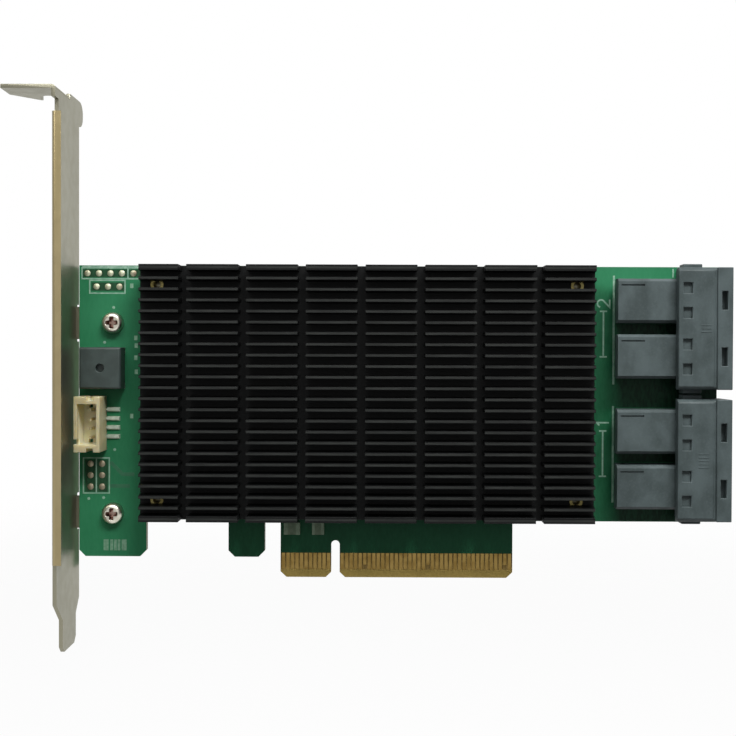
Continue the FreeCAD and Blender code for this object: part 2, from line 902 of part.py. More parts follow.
def contact_block(label, port):
    """Moulded block behind one port: a hollow tower on the board and a nose with two slots."""
    body = new_body(label)
    half = s.tower_width / 2
    roof = FACE + s.tower_height
    bevel = s.tower_chamfer
    tower = new_sketch(body, "YZ_Plane", s.tower_rear)
    outline(tower, [
        (-FACE, -half),
        (-FACE, half),
        (bevel - roof, half),
        (-roof, half - bevel),
        (-roof, bevel - half),
        (bevel - roof, -half),
    ])
    pad(body, tower, s.shroud_rear - s.tower_rear)
    step = new_sketch(body, "YZ_Plane", s.tower_rear)
    rectangle(step, -FACE - s.tower_step_height, -FACE, -half, half)
    pocket(body, step, s.tower_step, reverse=True)

    nose = new_sketch(body, "YZ_Plane", s.shroud_rear)
    nose_half = s.port_width / 2 - s.port_play
    rectangle(nose, s.port_play - FACE - s.port_ceiling, -FACE - s.port_floor - s.port_play,
              -nose_half, nose_half)
    pad(body, nose, s.nose_front - s.shroud_rear)

    hollow = new_sketch(body, "XZ_Plane", FACE)
    rectangle(hollow, s.tower_rear + s.tower_step + s.tower_wall, s.shroud_rear - s.tower_wall,
              -s.hollow_width / 2, s.hollow_width / 2)
    pocket(body, hollow, s.tower_height - s.tower_roof, reverse=True)

    groove = new_sketch(body, "XZ_Plane", roof)
    groove_top = half - s.tower_groove_inset
    rectangle(groove, s.tower_groove_left, s.tower_groove_left + s.tower_groove_length,
              groove_top - s.tower_groove_width, groove_top)
    pocket(body, groove, s.tower_groove_depth)

    slots = new_sketch(body, "YZ_Plane", s.nose_front)
    for level in (s.slot_low, s.slot_high):
        rectangle(slots, -FACE - level - s.slot_height / 2, s.slot_height / 2 - FACE - level,
                  -s.hollow_width / 2, s.hollow_width / 2)
    pocket(body, slots, s.nose_front - s.shroud_rear + s.tower_wall)
    place(body, NOTHING, NOTHING, port)
    return body


def port_contacts(label, port):
    """Four rows of nine contact beams, two rows in each slot of the nose."""
    body = new_body(label)
    first = -s.row_pitch * (s.row_count - 1) / 2
    beams = new_sketch(body, "YZ_Plane", s.beam_tail)
    for slot in (s.slot_low, s.slot_high):
        for under in (slot - s.slot_height / 2, slot + s.slot_height / 2 - s.beam_thick):
            rectangle(beams, -FACE - under - s.beam_thick, -FACE - under,
                      first - s.beam_width / 2, first + s.beam_width / 2)
    feature = pad(body, beams, s.beam_tip - s.beam_tail)
    repeat(body, feature, "Z_Axis", s.row_pitch, s.row_count)
    place(body, NOTHING, NOTHING, port)
    return body


def port_connectors():
    """Two dual connectors, each a shroud with two contact blocks and their contacts."""
    nodes = []
    ports = []
    for name, connector in (("upper", s.connector_high), ("lower", s.connector_low)):
        nodes.append(port_shroud(f"port_shroud_{name}", connector))
        ports += port_centres(connector)
    for number, port in enumerate(ports, start=1):
        nodes.append(contact_block(f"contact_block_{number}", port))
        nodes.append(port_contacts(f"port_contacts_{number}", port))
    return nodes


def buzzer():
    """Square sounder with a round sound hole, standing on four solder terminals."""
    body = new_body("buzzer")
    half_width = s.buzzer_width / 2
    half_length = s.buzzer_length / 2
    top = s.buzzer_lift + s.buzzer_height
    case = new_sketch(body, "XZ_Plane", s.buzzer_lift)
    rectangle(case, -half_width, half_width, -half_length, half_length)
    pad(body, case, s.buzzer_height)
    round_edges(body, s.buzzer_edge, lambda p: near(p.y, -top), kind="Chamfer")
    hole = new_sketch(body, "XZ_Plane", top)
    circle(hole, NOTHING, NOTHING, s.buzzer_hole_radius)
    pocket(body, hole, s.buzzer_hole_depth)
    place(body, s.buzzer_x, -FACE, s.buzzer_z)

    terminals = new_body("buzzer_terminals")
    feet = new_sketch(terminals, "XZ_Plane")
    for left in (-half_width, half_width - s.terminal_width):
        for foot in (-half_length, half_length - s.terminal_length):
            rectangle(feet, left, left + s.terminal_width, foot, foot + s.terminal_length)
    pad(terminals, feet, s.buzzer_lift)
    place(terminals, s.buzzer_x, -FACE, s.buzzer_z)
    return [body, terminals]


def wire_header():
    """Open-topped housing, notched outside at both ends, with four pins that lead out to legs."""
    pins = new_body("wire_header_pins")
    side = s.header_pin_size
    pin = new_sketch(pins, "XY_Plane", s.header_pin_first - side / 2)
    outline(pin, [
        (-s.header_pin_left, -FACE),
        (-s.header_leg_right, -FACE),
        (-s.header_leg_right, -FACE - side),
        (side - s.header_pin_left, -FACE - side),
        (side - s.header_pin_left, -FACE - s.header_pin_height),
        (-s.header_pin_left, -FACE - s.header_pin_height),
    ])
    feature = pad(pins, pin, side)
    repeat(pins, feature, "Z_Axis", s.header_pin_pitch, s.header_pin_count)

    body = new_body("wire_header_body")
    top = FACE + s.header_height
    block = new_sketch(body, "XZ_Plane", FACE)
    rectangle(block, -s.header_left, -s.header_right, s.header_foot, s.header_top)
    pad(body, block, s.header_height)
    cavity = new_sketch(body, "XZ_Plane", top)
    rectangle(cavity, s.header_wall - s.header_left, -s.header_right - s.header_wall,
              s.header_foot + s.header_end, s.header_top - s.header_end)
    pocket(body, cavity, s.header_height - s.header_floor)
    gaps = new_sketch(body, "XZ_Plane", top)
    gap_right = s.header_gap - s.header_gap_left
    rectangle(gaps, -s.header_gap_left, gap_right, s.header_foot, s.header_foot + s.header_gap_inset)
    rectangle(gaps, -s.header_gap_left, gap_right, s.header_top - s.header_gap_inset, s.header_top)
    pocket(body, gaps, s.header_gap_depth)
    holes = new_sketch(body, "XZ_Plane", FACE + s.header_floor)
    half_hole = s.header_hole / 2
    middle = (s.header_foot + s.header_top) / 2
    for hole in (middle - s.header_hole_spread / 2, middle + s.header_hole_spread / 2):
        rectangle(holes, -s.header_hole_x - half_hole, half_hole - s.header_hole_x,
                  hole - half_hole, hole + half_hole)
    pocket(body, holes, s.header_floor)
    notch = new_sketch(body, "XZ_Plane", top)
    rectangle(notch, -s.header_left, s.header_wall - s.header_left,
              s.header_notch_foot, s.header_notch_foot + s.header_notch)
    pocket(body, notch, s.header_notch_depth)
    return [cut("wire_header", body, pins), pins]


def switch_chip():
    """Chip on its carrier with a metal lid, and the soft pad between the lid and the heat sink."""
    chip = new_body("switch_chip")
    carrier = new_sketch(chip, "XZ_Plane")
    half = s.chip_size / 2
    rectangle(carrier, -half, half, -half, half)
    pad(chip, carrier, s.chip_base)
    lid = new_sketch(chip, "XZ_Plane", s.chip_base)
    half = s.lid_size / 2
    rectangle(lid, -half, half, -half, half)
    pad(chip, lid, s.lid_height)
    place(chip, s.chip_x, -FACE, s.chip_z)

    pad_thick = s.sink_gap - s.chip_base - s.lid_height
    thermal_pad = new_box("thermal_pad", s.pad_size, pad_thick, s.pad_size,
                          s.chip_x - s.pad_size / 2, -SINK_SEAT, s.chip_z - s.pad_size / 2)
    thermal_pad.Label = "thermal_pad"
    return [chip, thermal_pad]


def on_board(name, width, length, height, left, foot):
    """Plain package standing on the component side of the board."""
    return new_box(name, width, height, length, left, -FACE - height, foot)


def supply_parts():
    """Voltage regulators, each beside its inductor."""
    inductors = []
    regulators = []
    for number in range(int(s.supply_count.number)):
        foot = s.supply_z + s.supply_pitch * number
        inductors.append(on_board(f"inductor_{number + 1}", s.inductor_size, s.inductor_size,
                                  s.inductor_height, s.supply_x, foot))
        regulators.append(on_board(f"regulator_{number + 1}", s.regulator_size, s.regulator_size,
                                   s.regulator_height,
                                   s.supply_x - s.regulator_size - s.supply_gap, foot))
    return [group("power_inductors", inductors), group("voltage_regulators", regulators)]


def single_packages():
    """The set-up memory and the clock source of the switch chip."""
    memory = on_board("setup_memory", s.memory_width, s.memory_length, s.memory_height,
                      s.memory_x, s.memory_z - s.memory_length / 2)
    clock = on_board("clock_source", s.clock_width, s.clock_length, s.clock_height,
                     s.clock_x, s.clock_z - s.clock_length / 2)
    for node in (memory, clock):
        node.Label = node.Name
    return [memory, clock]


def capacitors():
    """Capacitors by the edge connector, along the port lines and behind the switch chip."""
    edge = []
    height = s.edge_cap_top - s.edge_cap_foot
    for name, left, width in (("bulk_capacitor", s.bulk_cap_left, s.bulk_cap_width),
                              ("filter_capacitor", s.filter_cap_left, s.filter_cap_width)):
        edge.append(on_board(name, width, height, s.edge_cap_height, left, s.edge_cap_foot))

    coupling = []
    for number in range(int(s.coupling_count.number)):
        foot = s.coupling_z + s.coupling_pitch * number
        coupling.append(on_board(f"coupling_capacitor_{number + 1}", s.chip_cap_width, s.chip_cap_length,
                                 s.chip_cap_height, s.coupling_x, foot))

    bypass = []
    for column in range(int(s.bypass_columns.number)):
        for row in range(int(s.bypass_rows.number)):
            x = s.chip_x + s.bypass_pitch_x * (column - (s.bypass_columns.number - 1) / 2)
            z = s.chip_z + s.bypass_pitch_z * (row - (s.bypass_rows.number - 1) / 2)
            bypass.append(new_box(f"bypass_capacitor_{column + 1}_{row + 1}", s.chip_cap_width,
                                  s.chip_cap_height, s.chip_cap_length, x, FACE, z))
    return [group("edge_capacitors", edge), group("coupling_capacitors", coupling),
            group("bypass_capacitors", bypass)]


def presence_contacts():
    """Centres of the short contacts on each face, counted from the bracket end."""
    front = [s.contact_first + s.contact_pitch * number for number in PRESENCE_PLACES]
    rear = [-s.contact_first - s.contact_pitch * (s.contacts_left - 1)]
    return front, rear


short_front, short_rear = presence_contacts()
nodes = [
    circuit_board(),
    edge_contacts("edge_contacts_front", "front", short_front),
    edge_contacts("edge_contacts_rear", "rear", short_rear),
    bracket(),
    bracket_screws(),
    heat_sink(),
    standoffs(),
    sink_screws(),
]
nodes += port_connectors()
nodes += buzzer()
nodes += wire_header()
nodes += switch_chip()
nodes += supply_parts()
nodes += single_packages()
nodes += capacitors()

doc.recompute()
for item in doc.Objects:
    if "Invalid" in item.State or "Error" in item.State:
        raise RuntimeError(f"{item.Name}: {item.State}")
for node in nodes:
    if node.Shape.isNull() or not node.Shape.isValid():
        raise RuntimeError(f"{node.Label} has no valid shape")

os.makedirs("parts", exist_ok=True)
for node in nodes:
    node.Shape.exportStep(f"parts/{node.Label}.step")
    print(node.Label, len(node.Shape.Solids), round(node.Shape.Volume, 2))
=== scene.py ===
import math

import bmesh
import bpy
from mathutils import Matrix, Vector


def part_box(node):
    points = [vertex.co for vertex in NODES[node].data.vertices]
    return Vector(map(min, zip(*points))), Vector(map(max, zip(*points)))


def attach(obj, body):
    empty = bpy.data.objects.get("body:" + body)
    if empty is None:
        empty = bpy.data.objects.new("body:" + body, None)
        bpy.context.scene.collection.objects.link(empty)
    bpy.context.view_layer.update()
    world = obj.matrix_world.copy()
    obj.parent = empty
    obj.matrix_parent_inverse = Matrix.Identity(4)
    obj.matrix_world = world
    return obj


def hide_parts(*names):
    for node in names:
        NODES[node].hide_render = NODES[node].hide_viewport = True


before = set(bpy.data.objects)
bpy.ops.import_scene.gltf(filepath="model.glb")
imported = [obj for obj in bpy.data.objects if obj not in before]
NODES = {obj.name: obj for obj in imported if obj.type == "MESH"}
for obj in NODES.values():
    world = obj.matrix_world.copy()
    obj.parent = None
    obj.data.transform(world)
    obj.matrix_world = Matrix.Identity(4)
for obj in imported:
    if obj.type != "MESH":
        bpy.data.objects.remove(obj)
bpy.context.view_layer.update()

# Dresses the host bus adapter: finishes for every node, rounded edges, solder, print and small
# hardware, then light and a camera. Places are written in millimetres and built in metres.

MM = 0.001
FRONT = -1
REAR = 1


def low(node):
    """The lowest corner of a node, in millimetres."""
    return Vector(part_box(node)[0]) / MM


def high(node):
    """The highest corner of a node, in millimetres."""
    return Vector(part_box(node)[1]) / MM


def middle(node):
    """The middle of a node's box, in millimetres."""
    return (low(node) + high(node)) / 2


# The board's edges and its rear face, half its thickness from the middle of the frame
BOARD_LEFT = low("circuit_board").x
BOARD_RIGHT = high("circuit_board").x
BOARD_TOP = high("circuit_board").z
BOARD_REAR = high("circuit_board").y
PORT_NUMBERS = range(1, 5)
# How far print and copper stand off the board's faces
PRINT_HEIGHT = 0.02
COPPER_HEIGHT = 0.035


# Materials

def colour(red, green, blue):
    """A colour as a paint program gives it, 0 to 255, turned into scene light by the sRGB formula."""
    shades = []
    for shade in (red, green, blue):
        share = shade / 255
        shades.append(share / 12.92 if share <= 0.04045 else ((share + 0.055) / 1.055) ** 2.4)
    return (*shades, 1.0)


class Nodes:
    """A node tree and the few kinds of node that the finishes and the room are made of."""

    def __init__(self, tree, coordinates):
        self.tree = tree
        self.place = self.add("ShaderNodeTexCoord").outputs[coordinates]

    def add(self, kind, **settings):
        node = self.tree.nodes.new(kind)
        for name, value in settings.items():
            setattr(node, name, value)
        return node

    def feed(self, socket, value):
        """Joins a node's output to a socket, or writes a plain value there."""
        if isinstance(value, bpy.types.NodeSocket):
            self.tree.links.new(value, socket)
        else:
            socket.default_value = value

    def combine(self, operation, first, second=0.0):
        """The result of a sum. Some operations use the first number only."""
        node = self.add("ShaderNodeMath", operation=operation)
        self.feed(node.inputs[0], first)
        self.feed(node.inputs[1], second)
        return node.outputs[0]

    def times(self, first, second):
        return self.combine("MULTIPLY", first, second)

    def either(self, first, second):
        return self.combine("MAXIMUM", first, second)

    def number(self, share, first, second):
        """A number that goes from first to second as share goes from 0 to 1.

        A Mix node takes numbers at its sockets 2 and 3, and colours at 6 and 7.
        """
        node = self.add("ShaderNodeMix")
        self.feed(node.inputs[0], share)
        self.feed(node.inputs[2], first)
        self.feed(node.inputs[3], second)
        return node.outputs[0]

    def along(self, axis):
        """The place along one axis."""
        split = self.add("ShaderNodeSeparateXYZ")
        self.feed(split.inputs[0], self.place)
        return split.outputs[axis]

    def rise(self, value, start, end, floor=0.0, top=1.0, kind="SMOOTHSTEP"):
        """A step from floor to top while value goes from start to end."""
        node = self.add("ShaderNodeMapRange", interpolation_type=kind)
        self.feed(node.inputs["Value"], value)
        node.inputs["From Min"].default_value = start
        node.inputs["From Max"].default_value = end
        node.inputs["To Min"].default_value = floor
        node.inputs["To Max"].default_value = top
        return node.outputs["Result"]

    def camera_ray(self):
        """1 for a ray from the camera, otherwise 0."""
        return self.add("ShaderNodeLightPath").outputs["Is Camera Ray"]

    def mirrored_ray(self):
        """1 for a ray that a shiny or clear surface sends out, otherwise 0."""
        path = self.add("ShaderNodeLightPath")
        return self.either(path.outputs["Is Glossy Ray"], path.outputs["Is Transmission Ray"])


class Finish(Nodes):
    """A node material whose patterns are fixed to places on the card."""

    def __init__(self, name, roughness=0.5, metallic=0.0, specular=0.5):
        self.material = bpy.data.materials.new(name)
        self.material.use_nodes = True
        super().__init__(self.material.node_tree, "Object")
        self.surface = self.tree.nodes["Principled BSDF"]
        self.surface.inputs["Roughness"].default_value = roughness
        self.surface.inputs["Metallic"].default_value = metallic
        self.surface.inputs["Specular IOR Level"].default_value = specular

    def noise(self, size, detail=3.0, stretch=(1.0, 1.0, 1.0)):
        """Soft noise whose patches are about size millimetres across, stretched along the axes."""
        scaled = self.add("ShaderNodeVectorMath", operation="MULTIPLY")
        self.feed(scaled.inputs[0], self.place)
        scaled.inputs[1].default_value = [1 / (size * MM * share) for share in stretch]
        node = self.add("ShaderNodeTexNoise")
        self.feed(node.inputs["Vector"], scaled.outputs["Vector"])
        node.inputs["Scale"].default_value = 1.0
        node.inputs["Detail"].default_value = detail
        return node.outputs[0]

    def patches(self, size, start=0.3, end=0.7, floor=0.0, top=1.0, **options):
        """Soft patches from floor to top, where the noise goes from start to end."""
        return self.rise(self.noise(size, **options), start, end, floor, top)

    def step(self, axis, start, end):
        """0 up to start along an axis, in millimetres, and 1 from end on."""
        return self.rise(self.along(axis), start * MM, end * MM)

    def facing(self, axis, start, end):
        """A step from 0 to 1 as the surface turns to face along an axis, either way round."""
        split = self.add("ShaderNodeSeparateXYZ")
        self.feed(split.inputs[0], self.add("ShaderNodeNewGeometry").outputs["Normal"])
        return self.rise(self.combine("ABSOLUTE", split.outputs[axis]), start, end)

    def within(self, left, right, foot, top, soft=0.3):
        """1 inside a rectangle of the board plane, in millimetres, with soft edges, otherwise 0."""
        share = 1.0
        for axis, start, end in (("X", left, right), ("Z", foot, top)):
            share = self.times(share, self.step(axis, start - soft, start))
            share = self.times(share, self.step(axis, end + soft, end))
        return share

    def from_nearest(self, axis, first, pitch):
        """The distance, in metres, from the nearest of a row of lines across an axis."""
        offset = self.combine("SUBTRACT", self.along(axis), first * MM)
        return self.combine("PINGPONG", offset, pitch / 2 * MM)

    def open_to_light(self, reach):
        """1 on open surfaces, down to 0 in recesses narrower than reach millimetres."""
        node = self.add("ShaderNodeAmbientOcclusion", samples=8)
        node.inputs["Distance"].default_value = reach * MM
        return node.outputs["AO"]

    def mix(self, share, first, second):
        """A colour that goes from first to second. Each is a node's output or three shades."""
        node = self.add("ShaderNodeMix", data_type="RGBA")
        self.feed(node.inputs[0], share)
        for socket, value in ((node.inputs[6], first), (node.inputs[7], second)):
            self.feed(socket, colour(*value) if isinstance(value, tuple) else value)
        return node.outputs[2]

    def blend(self, share, first, second):
        """A shader that goes from one shader node to another."""
        node = self.add("ShaderNodeMixShader")
        self.feed(node.inputs[0], share)
        self.feed(node.inputs[1], first.outputs[0])
        self.feed(node.inputs[2], second.outputs[0])
        return node

    def paint(self, value):
        self.feed(self.surface.inputs["Base Color"], value)

    def rough(self, value):
        self.feed(self.surface.inputs["Roughness"], value)

    def bump(self, height, depth):
        """Raises the surface by height times depth millimetres, in its shading only."""
        node = self.add("ShaderNodeBump")
        self.feed(node.inputs["Height"], height)
        node.inputs["Distance"].default_value = depth * MM
        node.inputs["Strength"].default_value = 1.0
        self.feed(self.surface.inputs["Normal"], node.outputs["Normal"])
        return self

    def shade(self, shader):
        """Makes a shader node the whole look of the material."""
        self.feed(self.tree.nodes["Material Output"].inputs["Surface"], shader.outputs[0])
        return self


ROUGHNESS_SPREAD = 0.12


def mottled(name, dark, light, size, roughness=0.5, metallic=0.0, grain=0.3, depth=0.01):
    """A finish with two shades in soft patches and a fine grain."""
    finish = Finish(name, roughness, metallic)
    finish.paint(finish.mix(finish.patches(size, 0.35, 0.65), dark, light))
    smoothest = roughness * (1 - ROUGHNESS_SPREAD)
    roughest = roughness * (1 + ROUGHNESS_SPREAD)
    finish.rough(finish.patches(size / 3, floor=smoothest, top=roughest))
    return finish.bump(finish.noise(grain), depth)


# Fields of the board's face, as left, right, foot and top: round the pin pads, painted shade along the
# lanes to the socket and to the ports, and darker painted shade between the ports
BLOCK_FIELD = (-55.4, -50.6, 18.9, 25.8)
PIN_FIELDS = ((-56.0, -41.9, 66.4, 67.9), (-54.0, -46.9, 63.4, 65.0), BLOCK_FIELD)
LANE_SHADE_FIELDS = ((-25.0, 40.5, 3.0, 13.4), (55.0, 60.5, 13.0, 62.5))
LANE_FADE = 3.0
PORT_FIELD_LEFT = 60.9
PORT_SPANS = ((13.0, 16.0), (26.0, 28.0), (38.0, 44.2), (54.2, 56.2))
PORT_SHADE_FIELDS = [(PORT_FIELD_LEFT, BOARD_RIGHT, foot, top) for foot, top in PORT_SPANS]
# The mask ends above the contacts. Left of the tongue it goes down to the board's edge.
MASK_FOOT = 5.5
MASK_FADE = 0.1
MASK_BESIDE_TONGUE = -13.15
TONGUE_FADE = 1.0
BEVEL_TOP = 1.8
BEVEL_FADE = 0.15
FRONT_FADE = 0.1


def solder_mask():
    """Green mask on the faces with painted shade in fields along the lanes and between the ports, and bare
    laminate on cut edges and along the contacts.
    """
    finish = Finish("board_mask", roughness=0.36, specular=0.12)
    patches = finish.patches(24.0, detail=2.0)
    green = finish.mix(patches, (38, 112, 74), (50, 124, 86))
    for field in PIN_FIELDS:
        green = finish.mix(finish.within(*field), green, (36, 66, 44))
    front = finish.step("Y", FRONT_FADE, -FRONT_FADE)
    # Painted shade between the ports, where the connector towers shade the board
    for field in PORT_SHADE_FIELDS:
        green = finish.mix(finish.times(front, finish.within(*field)), green, (12, 44, 27))
    # The bare colour here is painted shade, for the lanes under the heat sink and beside it
    bare = finish.mix(patches, (28, 90, 58), (38, 100, 68))
    for field in LANE_SHADE_FIELDS:
        green = finish.mix(finish.times(front, finish.within(*field, soft=LANE_FADE)), green, bare)
    weave = finish.patches(0.5, top=0.12, stretch=(1.0, 1.0, 3.0))
    green = finish.mix(weave, green, (72, 146, 106))
    speckle = finish.patches(0.35, 0.35, 0.7)
    cut_edge = finish.mix(speckle, (122, 116, 78), (146, 138, 96))
    between = finish.mix(speckle, (158, 132, 76), (178, 150, 92))
    bevelled = finish.mix(speckle, (194, 168, 92), (210, 184, 108))
    face = finish.facing("Y", 0.6, 0.8)
    at_bevel = finish.step("Z", BEVEL_TOP + BEVEL_FADE, BEVEL_TOP - BEVEL_FADE)
    laminate = finish.mix(at_bevel, finish.mix(face, cut_edge, between), bevelled)
    above_contacts = finish.step("Z", MASK_FOOT - MASK_FADE, MASK_FOOT)
    beside_tongue = finish.step("X", MASK_BESIDE_TONGUE, MASK_BESIDE_TONGUE - TONGUE_FADE)
    masked = finish.times(face, finish.either(above_contacts, beside_tongue))
    finish.paint(finish.mix(masked, laminate, green))
    return finish.bump(finish.noise(0.6), 0.006)


def contact_gold():
    """Gold plating with fine marks across each contact."""
    finish = Finish("contact_gold", roughness=0.36, metallic=1.0)
    finish.paint(finish.mix(finish.patches(1.5), (128, 104, 54), (152, 128, 74)))
    return finish.bump(finish.noise(0.2, stretch=(0.3, 1.0, 4.0)), 0.004)


# The bracket's lip, how far back from its front the painted warm reflection on it is full and ends, and the
# levels along Y between which the dull cut edges give way to plain sheet
LIP_FOOT = 5.1
LIP_TOP = 99.8
LIP_FADE = 0.2
REFLECTION_FULL = 0.3
REFLECTION_END = 0.6
DULL_END = -1.0
PLAIN_START = 0.0


def bracket_steel():
    """Zinc-plated sheet: grey, with a painted warm straw reflection on the folded lip's front face and duller
    cut edges.
    """
    finish = Finish("bracket_steel", metallic=1.0)
    spangle = finish.patches(9.0, stretch=(1.0, 1.0, 3.0))
    grey = finish.mix(spangle, (142, 140, 123), (152, 150, 133))
    # The straw colour is a painted warm reflection, put on the front face of the lip only
    straw_reflection = finish.mix(spangle, (158, 143, 105), (168, 154, 118))
    front = low("slot_bracket").y
    lip_reflection = finish.step("Y", front + REFLECTION_END, front + REFLECTION_FULL)
    lip_reflection = finish.times(lip_reflection, finish.step("Z", LIP_FOOT - LIP_FADE, LIP_FOOT))
    lip_reflection = finish.times(lip_reflection, finish.step("Z", LIP_TOP + LIP_FADE, LIP_TOP))
    edge = finish.mix(lip_reflection, (146, 143, 125), straw_reflection)
    edge = finish.mix(finish.step("Y", DULL_END, PLAIN_START), edge, grey)
    finish.paint(finish.mix(finish.facing("Y", 0.5, 0.9), grey, edge))
    finish.rough(finish.patches(2.5, floor=0.39, top=0.46))
    return finish.bump(finish.noise(0.5, stretch=(0.5, 0.5, 12.0)), 0.003)


# Levels along Y: screw tips get painted shade in front of the first, inside the heat sink, and plain nickel
# behind the second
SHADED_TIP = -4.0
OPEN_SHANK = -3.0
RECESS_REACH = 1.4


def screw_nickel():
    """Nickel plating, with painted shade on the tips inside the heat sink and brownish painted shade in the
    recesses.
    """
    finish = Finish("screw_nickel", roughness=0.3, metallic=1.0)
    nickel = finish.mix(finish.patches(2.0, 0.35, 0.65), (196, 192, 176), (220, 216, 202))
    outside = finish.step("Y", SHADED_TIP, OPEN_SHANK)
    # Painted shade on the tips inside the heat sink
    nickel = finish.mix(outside, (112, 108, 92), nickel)
    # Painted brownish shade in the recesses, where little light reaches
    recess_shade = finish.rise(finish.open_to_light(RECESS_REACH), 0.75, 0.4)
    finish.paint(finish.mix(finish.times(outside, recess_shade), nickel, (140, 104, 94)))
    return finish.bump(finish.noise(0.5), 0.003)


BLOCK_STAIN = 0.9


def tinned_solder():
    """Dull solder, some of it stained by flux, and most of all in the block of six pins."""
    finish = Finish("tinned_solder", roughness=0.48, metallic=0.7)
    block = finish.times(finish.within(*BLOCK_FIELD), BLOCK_STAIN)
    stain = finish.either(finish.patches(4.5, 0.42, 0.6), block)
    finish.paint(finish.mix(stain, (194, 198, 170), (136, 124, 104)))
    return finish.bump(finish.noise(0.3), 0.01)


# Width of the two edge fins, and how many gaps lie between the fins
EDGE_FIN = 1.25
FIN_GAPS = 23
# A painted highlight on a fin tip, patchy like wear, behind the tip and either side of its middle: where it
# is full and where it ends
HIGHLIGHT_DEPTH_FULL = 0.02
HIGHLIGHT_DEPTH_END = 0.24
HIGHLIGHT_SIDE_FULL = 0.14
HIGHLIGHT_SIDE_END = 0.26


def black_anodised():
    """Black aluminium with a painted highlight, patchy like wear, along the middle of each fin tip."""
    finish = Finish("black_anodised", roughness=0.5, specular=0.15)
    first = low("heat_sink")
    last = high("heat_sink")
    fin_pitch = (last.z - first.z - EDGE_FIN) / FIN_GAPS
    from_fin = finish.from_nearest("Z", first.z + EDGE_FIN / 2, fin_pitch)
    black = finish.mix(finish.patches(9.0), (11, 12, 12), (16, 17, 17))
    # Painted highlight along the front-facing middle of each fin tip
    tip_highlight = finish.patches(1.2, 0.25, 0.75, floor=0.35, stretch=(5.0, 1.0, 0.4))
    tip_highlight = finish.times(tip_highlight, finish.step("Y", first.y + HIGHLIGHT_DEPTH_END, first.y + HIGHLIGHT_DEPTH_FULL))
    tip_highlight = finish.times(tip_highlight, finish.facing("Y", 0.75, 0.98))
    tip_highlight = finish.times(tip_highlight, finish.rise(from_fin, HIGHLIGHT_SIDE_END * MM, HIGHLIGHT_SIDE_FULL * MM))
    finish.paint(finish.mix(tip_highlight, black, (50, 52, 50)))
    return finish.bump(finish.noise(0.3), 0.008)


def port_plastic():
    """Slate moulded plastic with soft flow marks."""
    finish = Finish("port_plastic", specular=0.3)
    slate = finish.mix(finish.patches(5.0, stretch=(1.0, 1.0, 1.6)), (57, 67, 67), (80, 91, 92))
    speck = finish.patches(0.5, 0.45, 0.75, top=0.14)
    finish.paint(finish.mix(speck, slate, (100, 112, 114)))
    finish.rough(finish.patches(1.2, floor=0.46, top=0.56))
    return finish.bump(finish.noise(0.4), 0.004)


HEADER_WALL = 0.5
WALL_FADE = 0.2
# Depths behind the header's mouth between which painted light makes the cavity pale
CAVITY_START = 0.3
CAVITY_FULL = 2.0
# How far red, green and blue light spread in the plastic
SPREAD = Vector((3.0, 2.4, 1.5))


def header_plastic():
    """Undyed plastic that lets a little light through, with painted light making its cavity pale."""
    finish = Finish("header_plastic", roughness=0.42)
    beige = finish.mix(finish.patches(4.0, 0.35, 0.65), (180, 170, 134), (194, 184, 150))
    first = low("wire_header")
    last = high("wire_header")
    cavity = (first.x + HEADER_WALL, last.x - HEADER_WALL, first.z + HEADER_WALL, last.z - HEADER_WALL)
    # Painted light inside the cavity
    cavity_light = finish.step("Y", first.y + CAVITY_START, first.y + CAVITY_FULL)
    cavity_light = finish.times(cavity_light, finish.within(*cavity, soft=WALL_FADE))
    finish.paint(finish.mix(cavity_light, beige, (244, 234, 198)))
    finish.surface.inputs["Subsurface Weight"].default_value = 0.8
    finish.surface.inputs["Subsurface Radius"].default_value = SPREAD * MM
    finish.surface.inputs["Subsurface Scale"].default_value = 1.0
    return finish.bump(finish.noise(0.3), 0.004)


LEG_FADE = 0.3


def header_pins():
    """Pins with a painted warm reflection of the beige housing inside it, and bright tinned legs outside it.
    """
    finish = Finish("header_pins", roughness=0.4, metallic=0.5)
    tone = finish.patches(0.9, 0.35, 0.65)
    # A painted warm reflection of the housing on the pins inside it
    housing_reflection = finish.mix(tone, (176, 162, 122), (196, 182, 142))
    bright = finish.mix(tone, (178, 192, 176), (200, 212, 198))
    side = high("wire_header").x
    finish.paint(finish.mix(finish.step("X", side - LEG_FADE, side), housing_reflection, bright))
    return finish.bump(finish.noise(0.3), 0.006)


FINISHES = {
    "solder_mask": solder_mask,
    "contact_gold": contact_gold,
    "bracket_steel": bracket_steel,
    "screw_nickel": screw_nickel,
    "black_anodised": black_anodised,
    "port_plastic": port_plastic,
    "header_plastic": header_plastic,
    "header_pins": header_pins,
    "tinned_solder": tinned_solder,
}
